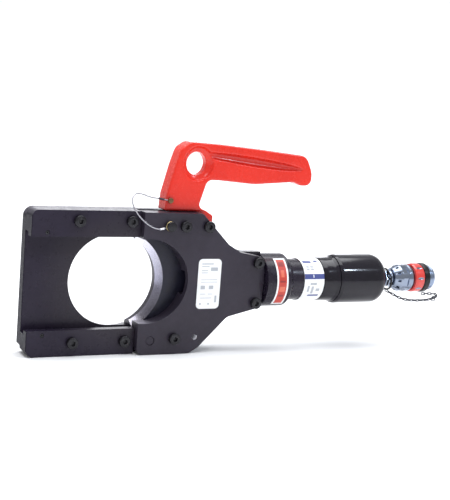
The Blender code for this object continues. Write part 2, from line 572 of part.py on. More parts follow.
# ------------------------------------------------------------ wire and chain
cord("lanyard_wire", [(54.0, 1.9, 94.3), (49.5, 1.2, 95.2), (44.0, 0.8, 96.4), (36.0, 0.0, 97.2),
                      (28.0, -0.5, 99.0), (20.5, -1.5, 101.4), (13.5, -3.0, 101.8), (8.6, -5.6, 98.6),
                      (6.8, -8.6, 93.6), (8.0, -11.4, 87.4), (12.0, -13.2, 80.6), (18.0, -13.8, 74.2),
                      (25.0, -13.9, 68.8), (32.5, -13.8, 65.0), (39.6, -13.2, 63.4), (44.2, -12.4, 63.6),
                      (47.4, -11.9, 65.0)], 0.75, "wire", 40)
cord("cap_chain", [(368.0, 10.6, -15.4), (371.5, 8.4, -17.4), (376.5, 5.2, -20.0), (382.0, 2.6, -22.8),
                   (389.0, 0.5, -25.2), (398.2, -0.9, -26.7), (409.0, -1.6, -27.1), (420.0, -1.9, -26.9),
                   (430.0, -1.6, -25.8), (437.4, -0.7, -24.0), (441.8, 1.0, -22.0), (442.6, 3.6, -21.0),
                   (438.6, 6.4, -20.7), (431.4, 8.6, -20.8), (424.0, 9.8, -21.0)], 1.5, "wire", 18)

# ------------------------------------------------- joint axes, as parent empties
def axis_empty(name, x, y, z, children):
    empty = bpy.data.objects.new(name, None)
    empty.empty_display_size = 0.01
    empty.location = place(x, y, z)
    guides.objects.link(empty)
    bpy.context.view_layer.update()
    for child in children:
        obj = bpy.data.objects[child]
        obj.parent = empty
        obj.matrix_parent_inverse = empty.matrix_world.inverted()


axis_empty("head_swing_axis", HINGE[0], Y_MID0, HINGE[1],
           ["fixed_blade", "upper_guide_rail", "lower_guide_rail", "upper_set_screw",
            "lower_set_screw"] + ["rail_bolt_%d" % k for k in (1, 2, 3, 4)])
axis_empty("blade_slide_axis", 0.0, AXIS_Y, 0.0,
           ["moving_blade", "piston_rod", "blade_pin", "piston", "piston_seal", "piston_nut"])
axis_empty("latch_axis", LATCH[0], Y_YOKE, LATCH[1], ["latch_pin", "pin_ring"])
axis_empty("sleeve_axis", 409.4, AXIS_Y, 0.0, ["coupler_sleeve"])
axis_empty("cap_axis", 425.0, AXIS_Y, 0.0, ["dust_cap", "cap_plug"])
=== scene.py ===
import math

import bmesh
import bpy
from mathutils import Matrix, Vector


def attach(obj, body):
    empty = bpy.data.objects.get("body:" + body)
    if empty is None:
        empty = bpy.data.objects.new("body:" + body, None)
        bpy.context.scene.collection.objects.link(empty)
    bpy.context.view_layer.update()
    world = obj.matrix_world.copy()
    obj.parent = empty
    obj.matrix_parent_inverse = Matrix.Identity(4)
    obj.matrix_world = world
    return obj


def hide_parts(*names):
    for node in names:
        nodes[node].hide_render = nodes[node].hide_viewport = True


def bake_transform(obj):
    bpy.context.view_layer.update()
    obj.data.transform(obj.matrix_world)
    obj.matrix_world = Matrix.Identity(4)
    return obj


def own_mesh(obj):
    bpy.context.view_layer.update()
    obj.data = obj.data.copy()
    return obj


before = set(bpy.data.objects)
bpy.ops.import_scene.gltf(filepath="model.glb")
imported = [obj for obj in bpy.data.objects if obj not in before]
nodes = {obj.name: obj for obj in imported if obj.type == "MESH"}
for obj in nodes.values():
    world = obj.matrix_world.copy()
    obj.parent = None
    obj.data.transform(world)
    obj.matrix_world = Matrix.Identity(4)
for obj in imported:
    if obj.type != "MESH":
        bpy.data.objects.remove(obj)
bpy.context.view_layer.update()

# ---------------------------------------------------------------- tool frame
# Everything below is in millimetres in the tool's own frame: zero at the centre
# of the cutting opening, on the front face of the guide rails.
ORG = Vector((165.65, 11.575, -82.0))
MM = 0.001


def P(x, y, z):
    return (Vector((x, y, z)) - ORG) * MM


OPENING_R = 52.5
HEAD_LEFT, HEAD_HALF, SEAM_X, YOKE_LEFT = -104.5, 81.8, 22.6, 23.2
Y_RAIL, Y_LIP, Y_MID0, Y_MID1, Y_BACK0, Y_BACK1, Y_YOKE = 0.0, 9.7, 10.0, 20.4, 20.7, 32.7, -9.0
LIP_EDGE, CHANNEL, BLADE_HALF, BEVEL_RUN = 52.3, 56.8, 56.5, 5.6
HINGE, LATCH = (39.2, -65.5), (54.0, 66.5)
BOLT_TOP = ((73.3, 66.3), (102.7, 66.3))
BOLT_LOW, WINDOW = (68.3, -63.5), (94.9, -62.8)
NECK_BOLTS = ((170.5, 24.0), (170.5, -24.0))
RAIL_BOLTS = ((-50.6, 70.0), (11.2, 70.0), (-51.5, -66.6), (10.6, -66.6))
AXIS_Y = 12.0
BOLT_HOLE = 4.3

# ------------------------------------------------------------------- camera
cam_data = bpy.data.cameras.new("camera")
cam_data.sensor_width = 36.0
cam_data.lens = 1212.908 * 36.0 / 500.0
cam_data.clip_end = 50.0
camera = bpy.data.objects.new("camera", cam_data)
bpy.context.scene.collection.objects.link(camera)
yaw, pitch, roll = math.radians(27.318), math.radians(8.642), math.radians(4.427)
fwd = Vector((math.sin(yaw) * math.cos(pitch), math.cos(yaw) * math.cos(pitch), -math.sin(pitch)))
right = Vector((math.cos(yaw), -math.sin(yaw), 0.0))
up = right.cross(fwd)
r2 = right * math.cos(roll) + up * math.sin(roll)
u2 = up * math.cos(roll) - right * math.sin(roll)
m = Matrix((r2, u2, -fwd)).transposed().to_4x4()
m.translation = P(-509.677, -1239.149, 249.718)
camera.matrix_world = m
bpy.context.scene.camera = camera

# ------------------------------------------------------------------- helpers


def arc(cx, cz, r, a0, a1, n, rz=None):
    rz = r if rz is None else rz
    return [(cx + r * math.cos(math.radians(a0 + (a1 - a0) * i / n)),
             cz + rz * math.sin(math.radians(a0 + (a1 - a0) * i / n))) for i in range(n + 1)]


def rounded(points, n=6):
    out = []
    count = len(points)
    for i, (x, z, r) in enumerate(points):
        if r <= 0:
            out.append((x, z))
            continue
        p = Vector((x, z))
        a = Vector(points[i - 1][:2]) - p
        b = Vector(points[(i + 1) % count][:2]) - p
        half = a.angle(b) / 2
        reach = r / math.tan(half)
        a.normalize()
        b.normalize()
        centre = p + (a + b).normalized() * (r / math.sin(half))
        s = p + a * reach - centre
        e = p + b * reach - centre
        turn = s.angle_signed(e)
        for k in range(n + 1):
            t = turn * k / n
            c, q = math.cos(t), math.sin(t)
            out.append((centre.x + s.x * c + s.y * q, centre.y - s.x * q + s.y * c))
    return out


def hole(x, z, r, n=40):
    return arc(x, z, r, 0, 360 - 360 / n, n - 1)


def new_object(name, mesh):
    obj = bpy.data.objects.new(name, mesh)
    bpy.context.scene.collection.objects.link(obj)
    return obj


def plate(name, loops, y0, y1):
    """Flat piece from outlines in X and Z, with holes as inner outlines."""
    curve = bpy.data.curves.new(name + "_line", "CURVE")
    curve.dimensions = "2D"
    curve.fill_mode = "BOTH"
    curve.extrude = (y1 - y0) / 2 * MM
    for loop in loops:
        sp = curve.splines.new("POLY")
        sp.points.add(len(loop) - 1)
        for k, (x, z) in enumerate(loop):
            sp.points[k].co = (x * MM, z * MM, 0.0, 1.0)
        sp.use_cyclic_u = True
    helper = bpy.data.objects.new(name + "_line", curve)
    bpy.context.scene.collection.objects.link(helper)
    bpy.context.view_layer.update()
    graph = bpy.context.evaluated_depsgraph_get()
    mesh = bpy.data.meshes.new_from_object(helper.evaluated_get(graph))
    bpy.data.objects.remove(helper, do_unlink=True)
    bpy.data.curves.remove(curve)
    mesh.name = name
    # local (x, z, depth) to tool frame, then to the row frame
    mesh.transform(Matrix.Translation(P(0, (y0 + y1) / 2, 0)) @ Matrix.Rotation(math.radians(90), 4, "X"))
    bm = bmesh.new()
    bm.from_mesh(mesh)
    bmesh.ops.remove_doubles(bm, verts=bm.verts, dist=1e-6)
    bmesh.ops.recalc_face_normals(bm, faces=bm.faces)
    bm.to_mesh(mesh)
    bm.free()
    return new_object(name, mesh)


def lathe(name, profile, axis="X", centre=(0.0, AXIS_Y, 0.0), steps=96, closed=True, n=4):
    """Turned piece. profile is (distance along the axis, radius, corner radius) all round."""
    pts = rounded(profile, n)
    bm = bmesh.new()
    c = Vector(centre)
    rings = []
    for a, r in pts:
        if r < 1e-6:
            v = c + (Vector((a, 0, 0)) if axis == "X" else Vector((0, a, 0)))
            rings.append([bm.verts.new(P(*v))])
            continue
        ring = []
        for k in range(steps):
            t = 2 * math.pi * k / steps
            o = (Vector((a, r * math.cos(t), r * math.sin(t))) if axis == "X"
                 else Vector((r * math.cos(t), a, r * math.sin(t))))
            ring.append(bm.verts.new(P(*(c + o))))
        rings.append(ring)
    pairs = list(zip(rings, rings[1:]))
    if closed:
        pairs.append((rings[-1], rings[0]))
    for A, B in pairs:
        if len(A) == 1 and len(B) == 1:
            continue
        for k in range(steps):
            k2 = (k + 1) % steps
            if len(A) == 1:
                bm.faces.new((A[0], B[k], B[k2]))
            elif len(B) == 1:
                bm.faces.new((A[k], B[0], A[k2]))
            else:
                bm.faces.new((A[k], B[k], B[k2], A[k2]))
    bmesh.ops.recalc_face_normals(bm, faces=bm.faces)
    mesh = bpy.data.meshes.new(name)
    bm.to_mesh(mesh)
    bm.free()
    return new_object(name, mesh)


def prism(name, x, z, y0, y1, r, sides, spin=0.0):
    return plate(name, [arc(x, z, r, spin, spin + 360 - 360 / sides, sides - 1)], y0, y1)


def boolean(obj, other, op="DIFFERENCE", keep=False):
    mod = obj.modifiers.new("bool", "BOOLEAN")
    mod.operation = op
    mod.solver = "EXACT"
    mod.object = other
    apply_all(obj)
    if not keep:
        bpy.data.objects.remove(other, do_unlink=True)
    return obj


def apply_all(obj):
    bpy.context.view_layer.update()
    graph = bpy.context.evaluated_depsgraph_get()
    mesh = bpy.data.meshes.new_from_object(obj.evaluated_get(graph))
    obj.modifiers.clear()
    old = obj.data
    obj.data = mesh
    bpy.data.meshes.remove(old)
    return obj


def soften(obj, width, segments=3, angle=32, shade=40):
    """Small machined edge breaks all round."""
    bm = bmesh.new()
    bm.from_mesh(obj.data)
    bmesh.ops.remove_doubles(bm, verts=bm.verts, dist=2e-6)
    bmesh.ops.dissolve_limit(bm, angle_limit=math.radians(0.5), verts=bm.verts, edges=bm.edges)
    bm.to_mesh(obj.data)
    bm.free()
    mod = obj.modifiers.new("edge", "BEVEL")
    mod.width = width * MM
    mod.segments = segments
    mod.limit_method = "ANGLE"
    mod.angle_limit = math.radians(angle)
    mod.use_clamp_overlap = True
    mod.harden_normals = False
    apply_all(obj)
    smooth(obj, shade)
    return level(obj)


def level(obj):
    """Normals weighted by face area, so flat faces next to rounded edges stay flat."""
    mod = obj.modifiers.new("level", "WEIGHTED_NORMAL")
    mod.mode = "FACE_AREA"
    mod.weight = 100
    mod.keep_sharp = True
    return apply_all(obj)


def smooth(obj, angle=40):
    obj.data.shade_smooth()
    obj.data.set_sharp_from_angle(angle=math.radians(angle))
    return obj


def join(name, objs):
    """One object from several."""
    bm = bmesh.new()
    slots = []
    for o in objs:
        base = len(bm.faces)
        remap = []
        for mt in o.data.materials:
            if mt not in slots:
                slots.append(mt)
            remap.append(slots.index(mt))
        tmp = o.data.copy()
        bm.from_mesh(tmp)
        bm.faces.ensure_lookup_table()
        for f in bm.faces[base:]:
            f.material_index = remap[f.material_index] if remap else 0
        bpy.data.meshes.remove(tmp)
    mesh = bpy.data.meshes.new(name)
    bm.to_mesh(mesh)
    bm.free()
    for mt in slots:
        mesh.materials.append(mt)
    for o in objs:
        bpy.data.objects.remove(o, do_unlink=True)
    return new_object(name, mesh)


def tube(name, pts, radius, sides=8, closed=False):
    """Round tube along points in the tool frame, in mm."""
    pts = [Vector(p) for p in pts]
    n = len(pts)
    bm = bmesh.new()
    normal = None
    rings = []
    for i, p in enumerate(pts):
        if closed:
            t = (pts[(i + 1) % n] - pts[i - 1]).normalized()
        else:
            t = (pts[min(i + 1, n - 1)] - pts[max(i - 1, 0)]).normalized()
        if normal is None:
            normal = t.orthogonal().normalized()
        normal = (normal - t * normal.dot(t)).normalized()
        b = t.cross(normal)
        ring = []
        for k in range(sides):
            a = 2 * math.pi * k / sides
            ring.append(bm.verts.new(P(*(p + (normal * math.cos(a) + b * math.sin(a)) * radius))))
        rings.append(ring)
    span = list(zip(rings, rings[1:]))
    if closed:
        # match the last ring to the first with the least twist
        best = min(range(sides), key=lambda s: sum((rings[-1][k].co - rings[0][(k + s) % sides].co).length
                                                   for k in range(sides)))
        span.append((rings[-1], [rings[0][(k + best) % sides] for k in range(sides)]))
    for A, B in span:
        for k in range(sides):
            k2 = (k + 1) % sides
            bm.faces.new((A[k], A[k2], B[k2], B[k]))
    if not closed:
        bm.faces.new(list(reversed(rings[0])))
        bm.faces.new(rings[-1])
    bmesh.ops.recalc_face_normals(bm, faces=bm.faces)
    mesh = bpy.data.meshes.new(name)
    bm.to_mesh(mesh)
    bm.free()
    mesh.shade_smooth()
    return new_object(name, mesh)


def curve_points(route, step):
    """Points at even spacing along a smooth curve through route."""
    pts = [Vector(p) for p in route]
    ext = [pts[0] * 2 - pts[1]] + pts + [pts[-1] * 2 - pts[-2]]
    dense = []
    for i in range(1, len(ext) - 2):
        p0, p1, p2, p3 = ext[i - 1:i + 3]
        for k in range(24):
            t = k / 24
            dense.append(0.5 * ((2 * p1) + (p2 - p0) * t + (2 * p0 - 5 * p1 + 4 * p2 - p3) * t * t
                                + (3 * p1 - p0 - 3 * p2 + p3) * t ** 3))
    dense.append(pts[-1])
    run = [0.0]
    for a, b in zip(dense, dense[1:]):
        run.append(run[-1] + (b - a).length)
    count = max(2, int(round(run[-1] / step)) + 1)
    even = []
    j = 0
    for k in range(count):
        s = run[-1] * k / (count - 1)
        while j < len(run) - 2 and run[j + 1] < s:
            j += 1
        t = (s - run[j]) / max(run[j + 1] - run[j], 1e-9)
        even.append(dense[j].lerp(dense[j + 1], min(max(t, 0.0), 1.0)))
    return even, run[-1]


# ----------------------------------------------------------------- materials
class Mat:
    """Small builder for procedural materials in object coordinates (metres)."""

    def __init__(self, name):
        self.m = bpy.data.materials.new(name)
        self.m.use_nodes = True
        self.t = self.m.node_tree
        self.bsdf = self.t.nodes["Principled BSDF"]
        tc = self.t.nodes.new("ShaderNodeTexCoord")
        self.co = tc.outputs["Object"]

    def link(self, a, b):
        self.t.links.new(a, b)

    def mapping(self, scale=(1, 1, 1), rot=(0, 0, 0), loc=(0, 0, 0)):
        n = self.t.nodes.new("ShaderNodeMapping")
        n.inputs["Scale"].default_value = scale
        n.inputs["Rotation"].default_value = rot
        n.inputs["Location"].default_value = loc
        self.link(self.co, n.inputs["Vector"])
        return n.outputs["Vector"]

    def noise(self, scale, detail=4.0, rough=0.55, vec=None, distortion=0.0):
        n = self.t.nodes.new("ShaderNodeTexNoise")
        n.inputs["Scale"].default_value = scale
        n.inputs["Detail"].default_value = detail
        n.inputs["Roughness"].default_value = rough
        n.inputs["Distortion"].default_value = distortion
        self.link(vec if vec is not None else self.co, n.inputs["Vector"])
        return n.outputs["Fac"]

    def ramp(self, fac, stops):
        n = self.t.nodes.new("ShaderNodeValToRGB")
        e = n.color_ramp.elements
        while len(e) > len(stops):
            e.remove(e[-1])
        while len(e) < len(stops):
            e.new(0.5)
        for k, (p, c) in enumerate(stops):
            e[k].position = p
            e[k].color = (*c, 1.0) if len(c) == 3 else c
        self.link(fac, n.inputs["Fac"])
        return n.outputs["Color"]

    def remap(self, fac, a, b, c, d):
        n = self.t.nodes.new("ShaderNodeMapRange")
        n.inputs["From Min"].default_value = a
        n.inputs["From Max"].default_value = b
        n.inputs["To Min"].default_value = c
        n.inputs["To Max"].default_value = d
        self.link(fac, n.inputs["Value"])
        return n.outputs["Result"]

    def math(self, op, a, b=None):
        n = self.t.nodes.new("ShaderNodeMath")
        n.operation = op
        for k, v in enumerate((a, b)):
            if v is None:
                continue
            if isinstance(v, (int, float)):
                n.inputs[k].default_value = v
            else:
                self.link(v, n.inputs[k])
        return n.outputs[0]

    def mix(self, fac, a, b, mode="MIX"):
        n = self.t.nodes.new("ShaderNodeMix")
        n.data_type = "RGBA"
        n.blend_type = mode
        if isinstance(fac, (int, float)):
            n.inputs["Factor"].default_value = fac
        else:
            self.link(fac, n.inputs["Factor"])
        for sock, v in ((n.inputs["A"], a), (n.inputs["B"], b)):
            pass
        ia = [s for s in n.inputs if s.type == "RGBA"]
        for sock, v in zip(ia, (a, b)):
            if isinstance(v, tuple):
                sock.default_value = (*v, 1.0)
            else:
                self.link(v, sock)
        return [s for s in n.outputs if s.type == "RGBA"][0]

    def bump(self, height, strength, distance=0.0005, normal=None):
        n = self.t.nodes.new("ShaderNodeBump")
        n.inputs["Strength"].default_value = strength
        n.inputs["Distance"].default_value = distance
        self.link(height, n.inputs["Height"])
        if normal is not None:
            self.link(normal, n.inputs["Normal"])
        return n.outputs["Normal"]

    def edge(self, radius=0.0012, samples=6):
        """1 near sharp edges, 0 on open surfaces."""
        b = self.t.nodes.new("ShaderNodeBevel")
        b.samples = samples
        b.inputs["Radius"].default_value = radius
        g = self.t.nodes.new("ShaderNodeNewGeometry")
        d = self.t.nodes.new("ShaderNodeVectorMath")
        d.operation = "DOT_PRODUCT"
        self.link(b.outputs["Normal"], d.inputs[0])
        self.link(g.outputs["Normal"], d.inputs[1])
        return self.remap(d.outputs["Value"], 0.995, 0.93, 0.0, 1.0)

    def set(self, **kw):
        names = {"color": "Base Color", "rough": "Roughness", "metal": "Metallic", "normal": "Normal",
                 "coat": "Coat Weight", "coat_rough": "Coat Roughness", "spec": "Specular IOR Level",
                 "sheen": "Sheen Weight", "aniso": "Anisotropic"}
        for k, v in kw.items():
            s = self.bsdf.inputs[names[k]]
            if isinstance(v, tuple):
                s.default_value = (*v, 1.0) if len(v) == 3 else v
            elif isinstance(v, (int, float)):
                s.default_value = v
            else:
                self.link(v, s)
        return self.m


def black_paint(name, dark, light, rough=(0.24, 0.36), spec=0.4, head=False):
    k = Mat(name)
    broad = k.noise(14.0, 3.0, 0.5)
    mid = k.noise(130.0, 5.0, 0.6)
    fine = k.noise(1500.0, 2.0, 0.5)
    col = k.ramp(broad, [(0.3, dark), (0.7, light)])
    col = k.mix(k.remap(mid, 0.45, 0.75, 0.0, 0.3), col, tuple(c * 1.35 + 0.002 for c in light))
    # rubbed edges and a few hairline scuffs
    wear = k.math("MULTIPLY", k.edge(0.0009), k.remap(k.noise(260.0, 4.0, 0.6), 0.45, 0.62, 0.0, 0.6))
    col = k.mix(wear, col, (0.075, 0.072, 0.085))
    scr = k.noise(90.0, 2.0, 0.5, k.mapping((0.35, 1.0, 9.0), (0, math.radians(24), 0)))
    hair = k.remap(scr, 0.76, 0.80, 0.0, 0.25)
    col = k.mix(hair, col, (0.055, 0.053, 0.060))
    r = k.remap(mid, 0.3, 0.7, rough[0], rough[1])
    if head:
        # painted highlight: the paint is lighter round the opening; painted shade: the end face is darker, and less
        # shiny
        sep = k.t.nodes.new("ShaderNodeSeparateXYZ")
        k.link(k.co, sep.inputs["Vector"])
        dx = k.math("ADD", sep.outputs["X"], 0.166)
        dz = k.math("SUBTRACT", sep.outputs["Z"], 0.082)
        dist = k.math("SQRT", k.math("ADD", k.math("MULTIPLY", dx, dx), k.math("MULTIPLY", dz, dz)), 0.0)
        dist = k.math("ADD", dist, k.remap(mid, 0.0, 1.0, -0.006, 0.006))
        col = k.mix(k.remap(dist, 0.050, 0.088, 0.62, 0.0), col, (0.040, 0.035, 0.040))
        # painted shade: the left end face gets a near-black colour and a lower specular level
        end = k.remap(sep.outputs["X"], -0.2699, -0.2690, 0.80, 0.0)
        col = k.mix(end, col, (0.007, 0.006, 0.012))
        spec = k.math("MULTIPLY", k.math("SUBTRACT", 1.0, end), spec)
    nrm = k.bump(fine, 0.16, 0.00010)
    nrm = k.bump(mid, 0.08, 0.0003, nrm)
    return k.set(color=col, rough=r, normal=nrm, metal=0.0, spec=spec)


def red_paint(name):
    k = Mat(name)
    broad = k.noise(18.0, 3.0, 0.5)
    mid = k.noise(220.0, 4.0, 0.6)
    fine = k.noise(1300.0, 2.0, 0.5)
    col = k.ramp(broad, [(0.25, (0.70, 0.019, 0.0085)), (0.75, (0.80, 0.028, 0.012))])
    specks = k.remap(k.noise(620.0, 2.0, 0.5), 0.70, 0.78, 0.0, 0.35)
    col = k.mix(specks, col, (0.45, 0.02, 0.015))
    wear = k.math("MULTIPLY", k.edge(0.0016), k.remap(mid, 0.5, 0.68, 0.0, 0.25))
    col = k.mix(wear, col, (0.95, 0.16, 0.10))
    # painted shade: colour darkened to deep red where the occlusion mask finds recesses (flutes, dish, corners)
    ao = k.t.nodes.new("ShaderNodeAmbientOcclusion")
    ao.samples = 8
    ao.inputs["Distance"].default_value = 0.010
    col = k.mix(k.remap(ao.outputs["AO"], 0.50, 0.93, 0.72, 0.0), col, (0.34, 0.014, 0.014))
    r = k.remap(mid, 0.3, 0.7, 0.20, 0.32)
    nrm = k.bump(fine, 0.18, 0.00015)
    nrm = k.bump(mid, 0.16, 0.0006, nrm)
    return k.set(color=col, rough=r, normal=nrm, spec=0.36, coat=0.18, coat_rough=0.12)


def brushed(name, base, rough=0.26, scale=(1.0, 1.0, 1.0), rot=(0, 0, 0), tint=None):
    k = Mat(name)
    lines = k.noise(900.0, 3.0, 0.6, k.mapping(scale, rot))
    broad = k.noise(40.0, 3.0, 0.5)
    col = k.ramp(broad, [(0.3, tuple(c * 0.86 for c in base)), (0.7, base)])
    col = k.mix(k.remap(lines, 0.35, 0.65, 0.0, 0.28), col, tuple(c * 0.62 for c in base))
    if tint:
        col = k.mix(k.remap(broad, 0.45, 0.7, 0.0, 0.4), col, tint)
    r = k.remap(lines, 0.3, 0.7, rough * 0.8, rough * 1.35)
    nrm = k.bump(lines, 0.12, 0.0002)
    return k.set(color=col, rough=r, metal=1.0, normal=nrm)


def oxide(name, base=(0.020, 0.0195, 0.023), metal=0.35, rough=(0.28, 0.45)):
    k = Mat(name)
    broad = k.noise(160.0, 4.0, 0.6)
    fine = k.noise(2200.0, 2.0, 0.5)
    col = k.ramp(broad, [(0.3, tuple(c * 0.7 for c in base)), (0.7, tuple(c * 1.5 for c in base))])
    wear = k.math("MULTIPLY", k.edge(0.0005), k.remap(broad, 0.4, 0.6, 0.1, 0.7))
    col = k.mix(wear, col, (0.20, 0.20, 0.215))
    return k.set(color=col, rough=k.remap(broad, 0.3, 0.7, rough[0], rough[1]), metal=metal,
                 normal=k.bump(fine, 0.15, 0.0001))


def rubber(name, base=(0.0075, 0.0060, 0.0110), rough=(0.09, 0.15), grain=0.05):
    k = Mat(name)
    broad = k.noise(30.0, 3.0, 0.5)
    v = k.t.nodes.new("ShaderNodeTexVoronoi")
    v.inputs["Scale"].default_value = 1100.0
    k.link(k.co, v.inputs["Vector"])
    dust = k.noise(240.0, 5.0, 0.65)
    col = k.ramp(broad, [(0.3, tuple(c * 0.8 for c in base)), (0.7, tuple(c * 1.25 for c in base))])
    col = k.mix(k.remap(dust, 0.55, 0.8, 0.0, 0.25), col, (0.030, 0.029, 0.031))
    nrm = k.bump(v.outputs["Distance"], grain, 0.00012)
    nrm = k.bump(dust, 0.08, 0.0003, nrm)
    return k.set(color=col, rough=k.remap(dust, 0.3, 0.7, rough[0], rough[1]), normal=nrm, spec=0.34)


def gloss(name, base, rough=0.16, metal=0.0):
    k = Mat(name)
    broad = k.noise(60.0, 3.0, 0.5)
    fine = k.noise(700.0, 3.0, 0.6)
    col = k.ramp(broad, [(0.3, tuple(c * 0.88 for c in base)), (0.7, base)])
    col = k.mix(k.remap(fine, 0.62, 0.8, 0.0, 0.3), col, tuple(c * 0.6 for c in base))
    return k.set(color=col, rough=k.remap(fine, 0.3, 0.7, rough * 0.8, rough * 1.5), metal=metal,
                 normal=k.bump(fine, 0.05, 0.0002), coat=0.4, coat_rough=0.08)


def film(name, base, rough=0.42):
    """Printed film: plain colour with faint mottling and a soft surface."""
    k = Mat(name)
    broad = k.noise(70.0, 3.0, 0.5)
    fine = k.noise(900.0, 3.0, 0.6)
    col = k.ramp(broad, [(0.3, tuple(c * 0.93 for c in base)), (0.7, base)])
    col = k.mix(k.remap(fine, 0.6, 0.85, 0.0, 0.25), col, tuple(c * 0.8 for c in base))
    return k.set(color=col, rough=k.remap(fine, 0.3, 0.7, rough * 0.8, rough * 1.2),
                 normal=k.bump(fine, 0.06, 0.0002))


M_HEAD = black_paint("head_black", (0.0140, 0.0102, 0.0210), (0.0215, 0.0168, 0.0315), (0.24, 0.36), 0.19, True)
M_YOKE = black_paint("yoke_black", (0.0195, 0.0150, 0.0255), (0.0300, 0.0245, 0.0380), (0.28, 0.42), 0.32)
M_CYL = black_paint("cylinder_black", (0.0100, 0.0065, 0.0150), (0.0150, 0.0108, 0.0220), (0.20, 0.32), 0.34)
M_RED = red_paint("handle_red")
def ground_face(name):
    k = Mat(name)
    lines = k.noise(900.0, 3.0, 0.6, k.mapping((1.0, 1.0, 7.0)))
    broad = k.noise(60.0, 4.0, 0.6)
    sep = k.t.nodes.new("ShaderNodeSeparateXYZ")
    k.link(k.co, sep.inputs["Vector"])
    # painted reflection: colour runs from dark at the bottom to near white at the top of the ground face
    height = k.math("ADD", sep.outputs["Z"], k.remap(broad, 0.0, 1.0, -0.008, 0.008))
    col = k.ramp(k.remap(height, 0.027, 0.140, 0.0, 1.0),
                 [(0.0, (0.20, 0.18, 0.17)), (0.14, (0.42, 0.40, 0.47)), (0.5, (0.44, 0.43, 0.54)),
                  (0.78, (0.74, 0.73, 0.85)), (1.0, (0.97, 0.96, 1.0))])
    col = k.mix(k.remap(lines, 0.35, 0.65, 0.0, 0.30), col, (0.20, 0.195, 0.24))
    return k.set(color=col, rough=k.remap(lines, 0.3, 0.7, 0.16, 0.30), metal=1.0, normal=k.bump(lines, 0.12, 0.0002))


M_GROUND = ground_face("ground_edge")
M_BLADE = oxide("blade_dark", (0.008, 0.0075, 0.018), 0.2)
M_ROD = brushed("rod_chrome", (0.78, 0.79, 0.82), 0.12, (8.0, 1.0, 1.0))
M_BOLT = oxide("bolt_black", (0.013, 0.0125, 0.0155), 0.45, (0.16, 0.28))
M_RUBBER = rubber("grip_rubber")
M_SEAL = rubber("seal_rubber", (0.008, 0.008, 0.010), (0.2, 0.32), 0.15)
M_STEELBLUE = brushed("plated_cap", (0.30, 0.36, 0.48), 0.22, (9.0, 1.0, 1.0), tint=(0.20, 0.25, 0.38))
M_SILVER = brushed("zinc_plate", (0.30, 0.34, 0.42), 0.15, (9.0, 1.0, 1.0), tint=(0.17, 0.21, 0.31))
M_CRED = gloss("coupler_red", (0.66, 0.045, 0.035))
M_WHITE = film("label_white", (0.90, 0.915, 0.92))
M_GREY = film("label_grey", (0.46, 0.48, 0.52))
M_BLUE = film("label_blue", (0.06, 0.08, 0.26))
M_LRED = film("label_red", (0.54, 0.050, 0.032))
M_LDARK = film("label_dark", (0.30, 0.030, 0.028))
M_LPALE = film("label_pale", (0.72, 0.16, 0.09))
M_WIRE = brushed("wire_steel", (0.50, 0.50, 0.54), 0.24, (1.0, 1.0, 1.0))
# painted light: near-white colour for the wall of the window hole, so the hole reads bright
M_WINDOW_LIGHT = film("window_painted_light", (0.88, 0.88, 0.92), 0.25)
M_SLEEVE = brushed("sleeve_alloy", (0.80, 0.80, 0.84), 0.28, (1.0, 1.0, 1.0))
M_CHAIN = brushed("chain_steel", (0.075, 0.075, 0.092), 0.3, (1.0, 1.0, 1.0))
M_BRASS = brushed("brass", (0.62, 0.50, 0.26), 0.3, (1.0, 6.0, 1.0))
M_OLIVE = brushed("dark_brass", (0.20, 0.13, 0.07), 0.3, (1.0, 6.0, 1.0))
M_CRIMP = oxide("crimp_metal", (0.060, 0.045, 0.055), 0.6)


def dress(obj, body, slot, mat=None, *replaced):
    if mat is not None:
        obj.data.materials.clear()
        obj.data.materials.append(mat)
    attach(obj, body)
    if replaced:
        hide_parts(*replaced)
    return obj


# ---------------------------------------------------------------- swing head
def cone_y(name, y0, r0, y1, r1, x=0.0, z=0.0, segments=160):
    bm = bmesh.new()
    bmesh.ops.create_cone(bm, cap_ends=True, segments=segments, radius1=r0 * MM, radius2=r1 * MM,
                          depth=(y1 - y0) * MM)
    mesh = bpy.data.meshes.new(name)
    bm.to_mesh(mesh)
    bm.free()
    mesh.transform(Matrix.Translation(P(x, (y0 + y1) / 2, z)) @ Matrix.Rotation(math.radians(-90), 4, "X"))
    return new_object(name, mesh)


def box(name, x0, x1, y0, y1, z0, z1):
    bm = bmesh.new()
    bmesh.ops.create_cube(bm, size=1.0)
    bmesh.ops.scale(bm, vec=((x1 - x0) * MM, (y1 - y0) * MM, (z1 - z0) * MM), verts=bm.verts)
    mesh = bpy.data.meshes.new(name)
    bm.to_mesh(mesh)
    bm.free()
    mesh.transform(Matrix.Translation(P((x0 + x1) / 2, (y0 + y1) / 2, (z0 + z1) / 2)))
    return new_object(name, mesh)


line = rounded([(SEAM_X, HEAD_HALF, 0), (HEAD_LEFT, HEAD_HALF, 11.0),
                (HEAD_LEFT, -HEAD_HALF + 10.5, 1.5), (HEAD_LEFT + 9.5, -HEAD_HALF, 1.5),
                (SEAM_X, -HEAD_HALF, 0)], 8)
line += [(SEAM_X, -OPENING_R)] + arc(0, 0, OPENING_R, 270, 90, 96) + [(SEAM_X, OPENING_R)]
fixed = plate("fixed_blade_plate", [line] + [hole(x, z, BOLT_HOLE) for x, z in RAIL_BOLTS], Y_BACK0, Y_BACK1)
relief = cone_y("relief", Y_BACK0 + 2.2, OPENING_R, Y_BACK1 + 1.0, OPENING_R + 4.0)
boolean(fixed, relief)
soften(fixed, 0.55)
dress(fixed, "swing_head", "head_black", M_HEAD, "fixed_blade")

